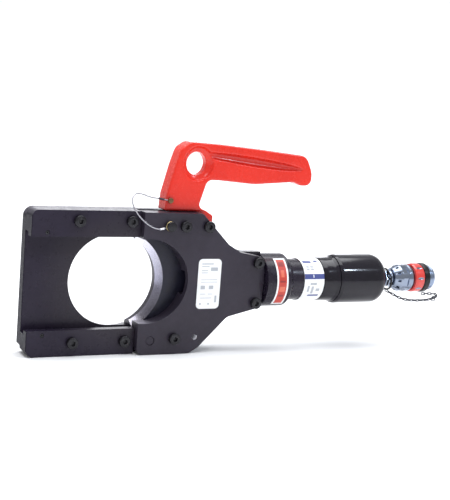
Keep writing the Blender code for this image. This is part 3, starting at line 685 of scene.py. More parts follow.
hl = math.hypot(LATCH[0] - HINGE[0], LATCH[1] - HINGE[1])
la = math.degrees(math.atan2(LATCH[1] - HINGE[1], LATCH[0] - HINGE[0]))
SLOT = 5.0
up_rail = plate("upper_rail", [rounded([(SEAM_X, HEAD_HALF, 1.0), (HEAD_LEFT, HEAD_HALF, 8.0),
                                        (HEAD_LEFT, LIP_EDGE, 0.8), (SEAM_X, LIP_EDGE, 0.8)], 8)]
                + [hole(x, z, BOLT_HOLE) for x, z in RAIL_BOLTS[:2]], Y_RAIL, Y_LIP)
up_web = plate("upper_web", [rounded([(HEAD_LEFT, HEAD_HALF, 8.0), (HEAD_LEFT, CHANNEL, 0),
                                      (LATCH[0] + 9.5, CHANNEL, 4.0), (LATCH[0] + 9.5, 77.0, 6.0),
                                      (SEAM_X + 0.9, 79.2, 0), (SEAM_X, HEAD_HALF, 0)])]
               + [hole(x, z, BOLT_HOLE) for x, z in RAIL_BOLTS[:2]], Y_LIP - 1.0, Y_MID1)
boolean(up_rail, up_web, "UNION")
boolean(up_rail, box("lug_face", SEAM_X, 75.0, Y_LIP - 3, Y_MID0, 50.0, 90.0))
slot_loop = (arc(HINGE[0], HINGE[1], hl + SLOT, la, la - 8, 8) + arc(HINGE[0], HINGE[1], hl - SLOT, la - 8, la, 8)
             + arc(LATCH[0], LATCH[1], SLOT, la - 180, la - 360, 20)[1:-1])
boolean(up_rail, plate("latch_slot", [slot_loop], Y_LIP - 3, Y_MID1 + 3))
boolean(up_rail, prism("screw_seat", -86.2, 57.0, -2.0, 6.3, 2.5, 32))
soften(up_rail, 0.8)
dress(up_rail, "swing_head", "head_black", M_HEAD, "upper_guide_rail")

lo_rail = plate("lower_rail", [rounded([(HEAD_LEFT, -LIP_EDGE, 0.8), (HEAD_LEFT, -HEAD_HALF + 7.0, 2.0),
                                        (HEAD_LEFT + 6.0, -HEAD_HALF, 2.0), (SEAM_X, -HEAD_HALF, 1.0),
                                        (SEAM_X, -LIP_EDGE, 0.8)])]
                + [hole(x, z, BOLT_HOLE) for x, z in RAIL_BOLTS[2:]], Y_RAIL, Y_LIP)
lo_loop = ([(HEAD_LEFT, -CHANNEL), (HEAD_LEFT, -HEAD_HALF + 7.0), (HEAD_LEFT + 6.0, -HEAD_HALF),
            (30.0, -HEAD_HALF), (HINGE[0], -77.0)] + arc(HINGE[0], HINGE[1], 8.55, -88, 90, 24)
           + [(34.0, -CHANNEL - 0.1), (SEAM_X, -CHANNEL)])
boolean(lo_rail, plate("lower_web", [lo_loop] + [hole(x, z, BOLT_HOLE) for x, z in RAIL_BOLTS[2:]]
                       + [hole(*HINGE, 5.3)], Y_LIP - 1.0, Y_MID1), "UNION")
boolean(lo_rail, box("lug_face", SEAM_X, 60.0, Y_LIP - 3, Y_MID0, -90.0, -50.0))
boolean(lo_rail, prism("screw_seat", -86.2, -57.4, -2.0, 6.3, 2.5, 32))
soften(lo_rail, 0.8)
dress(lo_rail, "swing_head", "head_black", M_HEAD, "lower_guide_rail")


def cap_screw(name, x, z, face, tip, body, node):
    """Hexagon socket cap screw along Y, head towards -Y."""
    under, top = face - 0.3, face - 5.3
    head = lathe(name, [(tip, 0.0, 0), (tip, 3.2, 0), (tip - 0.8, 3.9, 0), (under, 3.9, 0), (under, 6.5, 0.3),
                        (top, 6.5, 0.9), (top, 0.0, 0)], "Y", (x, 0.0, z), 64, closed=False, n=4)
    boolean(head, prism("socket", x, z, top - 1.0, top + 3.2, 3.35, 6, 30))
    # flank left plain: the loop below moves no vertex
    bm = bmesh.new()
    bm.from_mesh(head.data)
    c = P(x, 0, z)
    for v in bm.verts:
        d = Vector((v.co.x - c.x, v.co.z - c.z))
        if d.length > 0.0063 and (top + 0.8) * MM < v.co.y + ORG.y * MM < (under - 0.4) * MM:
            pass
    bm.to_mesh(head.data)
    bm.free()
    smooth(head, 35)
    return dress(head, body, "bolt_steel", M_BOLT, node)


for k, (x, z) in enumerate(RAIL_BOLTS):
    cap_screw("rail_screw_%d" % (k + 1), x, z, Y_RAIL, Y_BACK1 - 0.5, "swing_head", "rail_bolt_%d" % (k + 1))
for tag, z in (("upper", 57.0), ("lower", -57.4)):
    s = lathe(tag + "_grub", [(6.0, 0.0, 0), (6.0, 2.2, 0), (0.4, 2.2, 0.3), (0.4, 0.0, 0)], "Y",
              (-86.2, 0.0, z), 32, closed=False)
    boolean(s, prism("socket", -86.2, z, -1.0, 2.4, 1.2, 6))
    smooth(s, 35)
    dress(s, "swing_head", "bolt_steel", M_BOLT, tag + "_set_screw")

# ---------------------------------------------------------------------- yoke
POCKET = (30.3, 3.0, 51.0, 48.5)
right_side = [(95.0, 81.0, 3), (130.4, 45.6, 10), (147.0, 36.0, 8), (176.5, 30.6, 3),
              (180.0, 13.0, 6), (180.0, -8.6, 6), (178.0, -29.5, 7), (152.6, -35.7, 12),
              (135.0, -40.0, 12), (100.0, -75.0, 18), (88.0, -81.8, 12)]


def pocket_edge(n):
    cx, cz, a, b = POCKET
    start = math.degrees(math.acos((YOKE_LEFT - cx) / a))
    return arc(cx, cz, a, start, -start, n, b)


front_loop = rounded([(YOKE_LEFT, 81.6, 0)] + right_side + [(36.0, -82.0, 0)], 8)
front_loop += arc(32.2, -73.0, 9.0, 270, 180, 12)
front_loop += list(reversed(pocket_edge(96)))
yoke_holes = ([hole(x, z, BOLT_HOLE) for x, z in BOLT_TOP + (BOLT_LOW,) + NECK_BOLTS]
              + [hole(*WINDOW, 3.0), hole(*HINGE, 5.3), hole(*LATCH, 4.8)])
front = plate("yoke_front", [front_loop] + yoke_holes, Y_YOKE, Y_LIP)
SWEEP_R = 16.3


def corner_relief(y0, y1):
    loop = ([(YOKE_LEFT - 4, HINGE[1] - 2.0), (HINGE[0] - SWEEP_R, HINGE[1] - 2.0)]
            + arc(HINGE[0], HINGE[1], SWEEP_R, 187, 262, 16)
            + [(HINGE[0] - 2.0, HINGE[1] - 24.0), (YOKE_LEFT - 4, HINGE[1] - 24.0)])
    return plate("relief", [loop], y0, y1)


boolean(front, corner_relief(-0.4, Y_LIP + 1))
boolean(front, box("channel", 70.0, 190.0, AXIS_Y - 13.4, Y_LIP + 1, -13.4, 13.4))
soften(front, 0.9)
front.data.materials.clear()
front.data.materials.append(M_YOKE)
front.data.materials.append(M_WINDOW_LIGHT)
# painted light: faces on the window hole's wall get the near-white material
wc = P(WINDOW[0], 0, WINDOW[1])
for f in front.data.polygons:
    if math.hypot(f.center.x - wc.x, f.center.z - wc.z) < 0.00325 and abs(f.normal.y) < 0.5:
        f.material_index = 1
dress(front, "yoke", "yoke_black", None, "yoke_front_plate")

rear_loop = rounded([(YOKE_LEFT, 81.6, 0)] + right_side + [(HINGE[0] - 1.0, -82.0, 0)], 8)
rear_loop += arc(HINGE[0], HINGE[1], SWEEP_R, 262, 187, 16)
back_r = OPENING_R + 2.0
back_a = math.degrees(math.acos(YOKE_LEFT / back_r))
rear_loop += list(reversed(arc(0, 0, back_r, back_a, -back_a, 64)))
rear = plate("yoke_rear", [rear_loop] + yoke_holes, Y_BACK0, Y_BACK1)
boolean(rear, box("channel", 40.0, 190.0, Y_BACK0 - 1, AXIS_Y + 13.4, -13.4, 13.4))
soften(rear, 0.9)
dress(rear, "yoke", "yoke_black", M_YOKE, "yoke_rear_plate")

cap_screw("lower_yoke_screw", *BOLT_LOW, Y_YOKE, Y_BACK1 - 0.5, "yoke", "lower_yoke_bolt")
cap_screw("neck_screw_upper", *NECK_BOLTS[0], Y_YOKE, Y_BACK1 - 0.5, "yoke", "neck_bolt_upper")
cap_screw("neck_screw_lower", *NECK_BOLTS[1], Y_YOKE, Y_BACK1 - 0.5, "yoke", "neck_bolt_lower")
for k, (x, z) in enumerate(BOLT_TOP):
    cap_screw("handle_screw_%d" % (k + 1), x, z, Y_YOKE, Y_BACK1 - 0.5, "yoke", "handle_bolt_%d" % (k + 1))
pin = lathe("hinge_pin_turned", [(Y_BACK1 - 0.4, 0.0, 0), (Y_BACK1 - 0.4, 5.0, 0.6), (Y_YOKE + 0.4, 5.0, 0.6),
                                 (Y_YOKE + 0.4, 0.0, 0)], "Y", (HINGE[0], 0.0, HINGE[1]), 64, closed=False)
smooth(pin, 35)
dress(pin, "yoke", "bolt_steel", M_YOKE, "hinge_pin")
spacer = lathe("yoke_spacer", [(20.4, 6.2, 0.4), (10.0, 6.2, 0.4), (10.0, 4.3, 0), (20.4, 4.3, 0)], "Y",
               (BOLT_LOW[0], 0.0, BOLT_LOW[1]), 48)
smooth(spacer, 35)
dress(spacer, "yoke", "bolt_steel", M_BOLT, "lower_spacer")

# nameplate: white film with plain ruled bars and blocks, no lettering
np_parts = [plate("plate_base", [rounded([(93.2, 29.0, 5), (122.4, 29.0, 5), (122.4, -29.4, 5),
                                          (93.2, -29.4, 5)], 10)], Y_YOKE - 1.1, Y_YOKE - 0.3)]
soften(np_parts[0], 0.25, 2)
np_parts[0].data.materials.append(M_WHITE)
bars = [(97.5, 112.0, 22.6, 23.8), (97.5, 107.0, 19.8, 20.6), (109.0, 118.0, 15.0, 19.0), (97.5, 105.5, 15.0, 15.8),
        (97.5, 105.5, 12.4, 13.2), (97.5, 103.0, -6.4, -2.2), (108.0, 113.6, -6.4, -2.2), (97.5, 118.0, 4.4, 5.0),
        (97.5, 118.0, 1.6, 2.2), (116.2, 118.6, -22.0, -14.0), (97.0, 99.2, -24.6, -22.6), (107.5, 109.7, -24.6, -22.6),
        (97.5, 104.0, -12.4, -11.8), (107.5, 113.0, -12.4, -11.8), (97.5, 112.0, -17.0, -16.4)]
for k, (x0, x1, z0, z1) in enumerate(bars):
    b = box("bar%d" % k, x0, x1, Y_YOKE - 1.12, Y_YOKE - 1.0, z0, z1)
    b.data.materials.append(M_GREY)
    np_parts.append(b)
name_plate = join("name_plate", np_parts)
smooth(name_plate, 35)
dress(name_plate, "yoke", "label_white", None, "nameplate")

# -------------------------------------------------------------------- handle
handle_loop = rounded([
    (52.6, 82.2, 0), (54.2, 101.0, 20), (62.8, 135.0, 30), (68.8, 153.5, 14), (80.0, 161.0, 12),
    (115.0, 159.6, 60), (168.0, 155.8, 60), (233.0, 150.0, 13), (242.0, 131.0, 22),
    (242.2, 114.8, 8), (227.5, 114.6, 6), (218.0, 118.6, 14), (165.0, 114.6, 80),
    (120.0, 118.0, 20), (104.2, 118.2, 8), (94.6, 86.6, 6), (105.5, 82.2, 0)], 10)
handle = plate("handle_casting", [handle_loop, arc(90.4, 136.4, 12.4, 0, 360 - 9, 39, 13.4)], 4.4, 26.0)
mod = handle.modifiers.new("round", "BEVEL")
mod.width = 5.2 * MM
mod.segments = 5
mod.limit_method = "ANGLE"
mod.angle_limit = math.radians(50)
apply_all(handle)
root_loop = rounded([(64.2, 90.0, 0), (64.2, 58.2, 2), (116.6, 58.2, 2), (116.6, 76.4, 3),
                     (106.4, 82.4, 3), (97.0, 84.4, 2), (91.0, 90.0, 0)], 6)


def scoop(name, centre, radii, tilt=0.0, lean=0.0):
    """Smooth ellipsoid cutter."""
    bm = bmesh.new()
    bmesh.ops.create_uvsphere(bm, u_segments=56, v_segments=28, radius=1.0)
    mesh = bpy.data.meshes.new(name)
    bm.to_mesh(mesh)
    bm.free()
    mesh.transform(Matrix.Translation(P(*centre)) @ Matrix.Rotation(math.radians(tilt), 4, "Y")
                   @ Matrix.Rotation(math.radians(lean), 4, "X")
                   @ Matrix.Diagonal((radii[0] * MM, radii[1] * MM, radii[2] * MM, 1.0)))
    return new_object(name, mesh)


def voxels(obj, size, rounds):
    mod = obj.modifiers.new("remesh", "REMESH")
    mod.mode = "VOXEL"
    mod.voxel_size = size * MM
    mod.adaptivity = 0.0
    mod.use_smooth_shade = True
    mod = obj.modifiers.new("smooth", "SMOOTH")
    mod.factor = 0.5
    mod.iterations = rounds
    return apply_all(obj)


voxels(handle, 0.8, 4)
for side, y in ((-1, 4.4), (1, 26.0)):
    boolean(handle, scoop("flute", (160.0, y, 141.0), (70.0, 5.6, 5.4), 6.2, side * 8))
    boolean(handle, scoop("dish", (91.0, y, 136.6), (19.0, 7.3, 20.0)))
boolean(handle, plate("root", [root_loop], Y_MID0, Y_MID1), "UNION")
voxels(handle, 0.8, 5)
for x, z in BOLT_TOP:
    boolean(handle, prism("hole", x, z, Y_MID0 - 4, Y_MID1 + 4, BOLT_HOLE, 40))
handle.data.shade_smooth()
handle.data.set_sharp_from_angle(angle=math.radians(50))
dress(handle, "yoke", "handle_red", M_RED, "carry_handle")

post = lathe("lanyard_stud", [(3.9, 0.0, 0), (3.9, 2.2, 0), (1.9, 2.2, 0), (1.6, 3.2, 0.3), (0.3, 3.2, 0.5),
                              (0.3, 0.0, 0)], "Y", (57.6, 0.0, 94.0), 40, closed=False)
smooth(post, 40)
dress(post, "yoke", "brass", M_OLIVE, "lanyard_post")

# ------------------------------------------------------------------ cylinder
cyl = lathe("cylinder_turned", [(350.0, 18.0, 0.4), (350.0, 25.0, 0.6), (219.0, 25.0, 0.8), (212.6, 31.9, 2.4),
                                (209.6, 31.9, 0), (181.0, 31.9, 0.9), (181.0, 13.4, 0.3), (184.5, 13.4, 0),
                                (184.5, 15.6, 0), (188.5, 15.6, 0), (188.5, 13.4, 0), (193.0, 13.4, 0),
                                (193.0, 18.0, 0)], steps=128)
for sign, top in ((1, 34.2), (-1, 32.6)):
    lo, hi = sorted((sign * 15.2, sign * top))
    boolean(cyl, plate("tang", [rounded([(155.0, lo, 3), (183.0, lo, 0), (183.0, hi, 0), (155.0, hi, 3)], 6),
                                hole(170.5, sign * 24.0, BOLT_HOLE)], Y_MID0, Y_MID1), "UNION")
smooth(cyl, 30)
dress(cyl, "yoke", "head_black", M_CYL, "cylinder_body")

collar = lathe("collar_turned", [(283.6, 25.4, 0), (283.6, 28.8, 0.5), (280.0, 27.0, 2.5), (270.0, 26.5, 0),
                                 (262.0, 26.2, 0.5), (262.0, 25.4, 0)], steps=128)
smooth(collar, 30)
dress(collar, "yoke", "grip_rubber", M_RUBBER, "grip_collar")
sleeve = lathe("sleeve_turned", [(349.7, 25.4, 0), (349.7, 26.2, 0.4), (345.6, 29.0, 4.0), (341.0, 30.15, 5.0),
                                 (287.6, 30.15, 1.6), (284.1, 29.1, 0.5), (284.1, 25.4, 0)], steps=128)
smooth(sleeve, 30)
dress(sleeve, "yoke", "grip_rubber", M_RUBBER, "grip_sleeve")
endcap = lathe("end_cap_turned", [(361.0, 5.0, 0.3), (361.0, 11.7, 0.6), (356.6, 13.9, 1.4), (352.8, 19.3, 1.6),
                                  (350.3, 25.0, 0.6), (350.3, 17.6, 0), (342.0, 17.6, 0.5),
                                  (342.0, 5.0, 0.3)], steps=128)
smooth(endcap, 30)
dress(endcap, "yoke", "head_black", M_CYL, "end_cap")


def hexed(name, x0, x1, across, bore, mat, spin=0.0):
    """Hexagon nut section along X with turned-off corners."""
    R = across / math.sqrt(3)
    cone = lathe(name, [(x1, bore, 0.2), (x1, across / 2 - 0.4, 0), (x1 - 1.3, R + 0.05, 0), (x0 + 1.3, R + 0.05, 0),
                        (x0, across / 2 - 0.4, 0), (x0, bore, 0.2)], steps=96)
    bm = bmesh.new()
    ring = [(R * math.cos(math.radians(60 * k + spin)), R * math.sin(math.radians(60 * k + spin))) for k in range(6)]
    a = [bm.verts.new(P(x0 - 1, AXIS_Y + p, q)) for p, q in ring]
    b = [bm.verts.new(P(x1 + 1, AXIS_Y + p, q)) for p, q in ring]
    bm.faces.new(a)
    bm.faces.new(list(reversed(b)))
    for k in range(6):
        bm.faces.new((a[k], b[k], b[(k + 1) % 6], a[(k + 1) % 6]))
    bmesh.ops.recalc_face_normals(bm, faces=bm.faces)
    mesh = bpy.data.meshes.new("hex")
    bm.to_mesh(mesh)
    bm.free()
    boolean(cone, new_object("hex", mesh), "INTERSECT")
    smooth(cone, 25)
    return cone


nip = hexed("nipple_hex", 361.3, 368.4, 18.8, 4.0, M_SILVER)
neck = lathe("nipple_neck", [(374.0, 4.0, 0), (374.0, 9.4, 0.5), (372.0, 9.9, 0.4), (370.4, 8.6, 0.3),
                             (368.2, 8.6, 0.2), (368.2, 4.0, 0)], steps=72)
smooth(neck, 30)
nip = join("nipple", [nip, neck])
smooth(nip, 25)
dress(nip, "yoke", "silver", M_SILVER, "hose_nipple")

body = lathe("coupler_turned", [(422.0, 5.0, 0.5), (422.0, 12.8, 0.8), (420.4, 14.0, 0.5), (399.2, 14.0, 0),
                                (399.2, 16.9, 0.6), (396.4, 16.9, 0.3), (395.8, 16.2, 0.2), (394.6, 16.2, 0.2),
                                (394.0, 16.9, 0.3), (383.6, 16.9, 1.2), (380.6, 15.4, 0.8), (375.4, 12.8, 0.6),
                                (374.4, 12.0, 0.3), (374.4, 5.0, 0.2)], steps=144)


def flat_cut(target, x, wide, tall, reach, turn):
    bm = bmesh.new()
    bmesh.ops.create_cube(bm, size=1.0)
    bmesh.ops.scale(bm, vec=(wide * MM, 6.0 * MM, tall * MM), verts=bm.verts)
    mesh = bpy.data.meshes.new("flat")
    bm.to_mesh(mesh)
    bm.free()
    mesh.transform(Matrix.Translation(P(x, AXIS_Y, 0.0)) @ Matrix.Rotation(math.radians(turn), 4, "X")
                   @ Matrix.Translation(Vector((0, (reach + 3.0) * MM, 0))))
    boolean(target, new_object("flat", mesh))


# wrench flats and a ring of slots round the coupler's body
for k in range(6):
    flat_cut(body, 388.4, 8.2, 11.0, 15.5, 60 * k + 12)
for k in range(10):
    flat_cut(body, 379.6, 3.6, 3.2, 12.4, 36 * k + 5)
smooth(body, 28)
dress(body, "yoke", "silver", M_SILVER, "coupler_body")

# release sleeve: two red grip bands with a plated groove and finger notches
ring_r = lathe("release_sleeve", [(416.0, 14.3, 0.3), (416.0, 17.8, 0.9), (413.6, 18.35, 0.6), (405.2, 18.35, 0.6),
                                  (402.6, 17.4, 0.7), (402.6, 14.3, 0.3)], steps=144)
for k in range(8):
    bm = bmesh.new()
    bmesh.ops.create_uvsphere(bm, u_segments=24, v_segments=14, radius=1.0)
    mesh = bpy.data.meshes.new("notch")
    bm.to_mesh(mesh)
    bm.free()
    a = math.radians(45 * k + 6)
    mesh.transform(Matrix.Translation(P(409.6, AXIS_Y - 19.0 * math.cos(a), 19.0 * math.sin(a)))
                   @ Matrix.Rotation(-a, 4, "X") @ Matrix.Diagonal((5.2 * MM, 1.7 * MM, 2.1 * MM, 1.0)))
    boolean(ring_r, new_object("notch", mesh))
ring_r.data.materials.clear()
ring_r.data.materials.append(M_CRED)
ring_r.data.materials.append(M_SILVER)
cy = (AXIS_Y - ORG.y) * MM
cz = -ORG.z * MM
for f in ring_r.data.polygons:
    c = f.center
    rad = math.hypot(c.y - cy, c.z - cz)
    lx = (c.x * 1000) + ORG.x
    if 404.6 < lx < 415.2 and 0.0155 < rad < 0.01812:
        f.material_index = 1
smooth(ring_r, 30)
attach(ring_r, "sleeve")
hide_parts("coupler_sleeve")
dcap = lathe("dust_cap_moulded", [(424.6, 6.4, 0.2), (424.6, 17.6, 0.6), (423.6, 18.7, 0.7), (418.0, 18.7, 0.7),
                                  (416.6, 17.9, 0.6), (416.6, 14.4, 0.3), (422.4, 14.4, 0.4), (422.4, 6.4, 0)],
             steps=128)
smooth(dcap, 30)
dress(dcap, "cap", "seal_rubber", M_SEAL, "dust_cap")
plug = lathe("cap_plug_turned", [(435.8, 0.0, 0), (435.8, 10.6, 0.8), (434.0, 14.4, 1.6), (431.4, 15.7, 0.8),
                                 (430.6, 15.7, 0.2), (430.0, 15.1, 0.2), (429.0, 15.1, 0.2), (428.4, 15.7, 0.2),
                                 (425.9, 15.7, 0.6), (424.9, 14.9, 0.3), (424.9, 6.0, 0), (422.5, 6.0, 0.3),
                                 (422.5, 0.0, 0)], steps=96, closed=False)
smooth(plug, 30)
dress(plug, "cap", "silver", M_STEELBLUE, "cap_plug")

# limp cord loop round the nipple, hanging a little low and skewed
loop_pts = []
for k in range(72):
    a = 2 * math.pi * k / 72
    drop = max(0.0, -math.sin(a))
    r = 12.2 + 1.4 * drop
    loop_pts.append((367.0 + 1.1 * math.sin(a * 2 + 0.6) + 2.6 * drop * drop, AXIS_Y + r * math.cos(a), -0.6 + r * math.sin(a)))
loop_r = tube("nipple_loop", loop_pts, 1.25, 14, closed=True)
dress(loop_r, "yoke", "seal_rubber", M_SEAL, "chain_ring")


# Labels round the cylinder, made as fine strips so that borders are real edges.
def band(name, x0, x1, r0, r1, a0, a1, paint, nx, na):
    """paint(u, v) gives the material for a cell, u along X and v round."""
    bm = bmesh.new()
    mats = []
    grid = {}
    full = abs(a1 - a0) >= 360

    def vert(i, j, s):
        j2 = j % na if full else j
        if (i, j2, s) not in grid:
            a = math.radians(a0 + (a1 - a0) * j2 / na)
            r = (r1, r0)[s]
            grid[(i, j2, s)] = bm.verts.new(P(x0 + (x1 - x0) * i / nx, AXIS_Y + r * math.cos(a), r * math.sin(a)))
        return grid[(i, j2, s)]

    def idx(mt):
        if mt not in mats:
            mats.append(mt)
        return mats.index(mt)

    for i in range(nx):
        for j in range(na):
            f = bm.faces.new((vert(i, j, 0), vert(i + 1, j, 0), vert(i + 1, j + 1, 0), vert(i, j + 1, 0)))
            f.material_index = idx(paint((i + 0.5) / nx, (j + 0.5) / na))
            f = bm.faces.new((vert(i, j + 1, 1), vert(i + 1, j + 1, 1), vert(i + 1, j, 1), vert(i, j, 1)))
            f.material_index = idx(M_WHITE)
    for j in range(na):
        for i, w in ((0, 0), (nx, 1)):
            f = bm.faces.new((vert(i, j, 0), vert(i, j + 1, 0), vert(i, j + 1, 1), vert(i, j, 1)))
            f.material_index = idx(M_WHITE)
    if not full:
        for i in range(nx):
            for j in (0, na):
                f = bm.faces.new((vert(i, j, 0), vert(i + 1, j, 0), vert(i + 1, j, 1), vert(i, j, 1)))
                f.material_index = idx(M_WHITE)
    bmesh.ops.recalc_face_normals(bm, faces=bm.faces)
    mesh = bpy.data.meshes.new(name)
    bm.to_mesh(mesh)
    bm.free()
    for mt in mats:
        mesh.materials.append(mt)
    o = new_object(name, mesh)
    return smooth(o, 35)


def red_band(u, v):
    if not (0.14 < u < 0.86 and 0.035 < v < 0.965):
        return M_WHITE
    if 0.26 < u < 0.74:
        if 0.10 < v < 0.20 or 0.46 < v < 0.50 or 0.74 < v < 0.79:
            return M_LDARK
        if 0.27 < v < 0.40 and 0.36 < u < 0.64 or 0.58 < v < 0.68:
            return M_LPALE
    return M_LRED


wl = band("caution_band", 192.4, 207.4, 32.25, 32.75, 120.0, 232.0, red_band, 28, 112)
dress(wl, "yoke", "label_red", None, "warning_label")


def neck_print(u, v):
    a = 360.0 * v
    if 155.5 < a < 169.5:
        return M_BLUE if not (0.44 < u < 0.48 and 158 < a < 167) else M_WHITE
    if 112 < a < 122 and 0.08 < u < 0.5 or 110 < a < 118 and 0.66 < u < 0.84:
        return M_BLUE
    if 132 < a < 146 and (0.16 < u < 0.30 or 0.36 < u < 0.52) and not (137 < a < 141):
        return M_GREY
    if 180 < a < 186 and 0.30 < u < 0.62 or 188 < a < 206 and 0.18 < u < 0.28:
        return M_GREY
    if 190 < a < 212 and 0.38 < u < 0.50 or 196 < a < 204 and 0.62 < u < 0.80:
        return M_GREY
    if 216 < a < 222 and 0.30 < u < 0.84:
        return M_BLUE
    return M_WHITE


nl = band("neck_band", 234.0, 261.2, 25.3, 25.8, 0.0, 360.0, neck_print, 50, 180)
dress(nl, "yoke", "label_white", None, "neck_label")

# -------------------------------------------------------------- moving blade
bl = plate("blade_plate", [[(23.5, 54.7), (HINGE[0], BLADE_HALF), (86.0, BLADE_HALF), (106.0, 30.0), (115.4, 12.4),
                            (115.4, -12.4), (106.0, -30.0), (86.0, -BLADE_HALF), (HINGE[0], -BLADE_HALF),
                            (23.5, -54.7)], hole(104.0, 0.0, 3.7)], Y_MID0, Y_MID1)
slope = BEVEL_RUN / (Y_MID1 - Y_MID0)
boolean(bl, cone_y("edge", Y_MID0 - 1, OPENING_R + BEVEL_RUN + slope, Y_MID1 + 1, OPENING_R - slope, segments=256))
bl.data.materials.clear()
bl.data.materials.append(M_BLADE)
bl.data.materials.append(M_GROUND)
bm = bmesh.new()
bm.from_mesh(bl.data)
bmesh.ops.remove_doubles(bm, verts=bm.verts, dist=2e-6)
c0 = P(0, 0, 0)
for f in bm.faces:
    c = f.calc_center_median()
    d = Vector((c.x - c0.x, c.z - c0.z))
    n = Vector((f.normal.x, f.normal.z))
    f.material_index = 1 if d.length < 0.0585 and n.length > 0.5 and n.normalized().dot(-d.normalized()) > 0.9 else 0
bm.to_mesh(bl.data)
bm.free()
smooth(bl, 25)
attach(bl, "ram")
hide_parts("moving_blade")

rodv = lathe("rod_turned", [(339.6, 0.0, 0), (339.6, 6.2, 0), (338.8, 7.0, 0), (318.0, 7.0, 0), (318.0, 13.0, 0.5),
                            (92.0, 13.0, 1.4), (92.0, 0.0, 0)], steps=96, closed=False)
boolean(rodv, box("fork", 88.0, 116.0, Y_LIP, Y_BACK0, -20.0, 20.0))
boolean(rodv, prism("pin", 104.0, 0.0, -10.0, 40.0, 3.7, 40))
smooth(rodv, 30)
dress(rodv, "ram", "blade_steel", M_ROD, "piston_rod")
bp = lathe("blade_pin_turned", [(24.0, 0.0, 0), (24.0, 3.35, 0.5), (0.0, 3.35, 0.5), (0.0, 0.0, 0)], "Y",
           (104.0, 0.0, 0.0), 40, closed=False)
smooth(bp, 35)
dress(bp, "ram", "bolt_steel", M_BOLT, "blade_pin")
for node, mt in (("piston", M_SILVER), ("piston_nut", M_BOLT), ("piston_seal", M_SEAL), ("rod_seal", M_SEAL)):
    o = nodes[node]
    o.data.materials.clear()
    o.data.materials.append(mt)

SPRING_X0, SPRING_X1 = 194.7, 316.6
coil_pts = []
for k in range(9 * 40 + 1):
    a = 2 * math.pi * k / 40
    u = k / 360.0
    # end turns a little tighter than the open turns between
    x = SPRING_X0 + 1.3 + (SPRING_X1 - SPRING_X0 - 2.6) * (u - 0.022 * math.sin(2 * math.pi * u))
    coil_pts.append((x, AXIS_Y + 15.7 * math.cos(a), 15.7 * math.sin(a)))
coil = tube("return_spring_coil", coil_pts, 1.25, 12)
dress(coil, "yoke", "wire_steel", M_WIRE, "return_spring")
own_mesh(coil)

# ----------------------------------------------------------------- latch pin
lp = lathe("latch_pin_turned", [(35.1, 0.0, 0), (35.1, 2.6, 0.5), (32.7, 4.5, 0.8), (-9.3, 4.5, 0), (-9.3, 5.8, 0.3),
                                (-10.3, 5.8, 0.3), (-10.3, 3.4, 0), (-12.9, 3.4, 0), (-12.9, 5.6, 0.4),
                                (-16.3, 5.6, 0.9), (-16.3, 0.0, 0)], "Y", (LATCH[0], 0.0, LATCH[1]), 56, closed=False)
smooth(lp, 35)
dress(lp, "latch", "silver", M_BOLT, "latch_pin")
ring_pts = [(LATCH[0] + 5.0 * math.cos(t), Y_YOKE - 0.3 - 2.3, LATCH[1] + 5.0 * math.sin(t))
            for t in [2 * math.pi * k / 64 for k in range(64)]]
pr = tube("pin_split_ring", ring_pts, 0.78, 12, closed=True)
dress(pr, "latch", "brass", M_BRASS, "pin_ring")

# ------------------------------------------------------------- lanyard wire
wire_route = [(54.0, 1.9, 94.3), (49.5, 1.2, 95.2), (44.0, 0.8, 96.4), (36.0, 0.0, 97.2),
              (28.0, -0.5, 99.0), (20.5, -1.5, 101.4), (13.5, -3.0, 101.8), (8.6, -5.6, 98.6),
              (6.8, -8.6, 93.6), (8.0, -11.4, 87.4), (12.0, -13.2, 80.6), (18.0, -13.8, 74.2),
              (25.0, -13.9, 68.8), (32.5, -13.8, 65.0), (39.6, -13.2, 63.4), (44.2, -12.4, 63.6),
              (47.4, -11.9, 65.0)]
wpts, wlen = curve_points(wire_route, 0.5)
strands = []
nrm = None
for s in range(4):
    line = []
    nrm = None
    for i, p in enumerate(wpts):
        t = (wpts[min(i + 1, len(wpts) - 1)] - wpts[max(i - 1, 0)]).normalized()
        nrm = t.orthogonal().normalized() if nrm is None else (nrm - t * nrm.dot(t)).normalized()
        b = t.cross(nrm)
        a = 2 * math.pi * (i * 0.5 / 5.2 + s / 4)
        line.append(p + (nrm * math.cos(a) + b * math.sin(a)) * 0.42)
    strands.append(tube("strand%d" % s, line, 0.44, 6))
wire = join("lanyard_rope", strands)
wire.data.shade_smooth()
wire.data.materials.clear()
wire.data.materials.append(M_WIRE)
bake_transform(wire)
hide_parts("lanyard_wire")


def ferrule(name, a, b, r):
    a, b = Vector(a), Vector(b)
    pts = [a.lerp(b, k / 10) for k in range(11)]
    o = tube(name, pts, r, 16)
    return o


f1 = ferrule("ferrule_top", wpts[10], wpts[24], 1.35)
dress(f1, "yoke", "wire_steel", M_CRIMP)
f2 = ferrule("ferrule_pin", wpts[-16], wpts[-5], 1.3)
dress(f2, "latch", "wire_steel", M_SLEEVE)

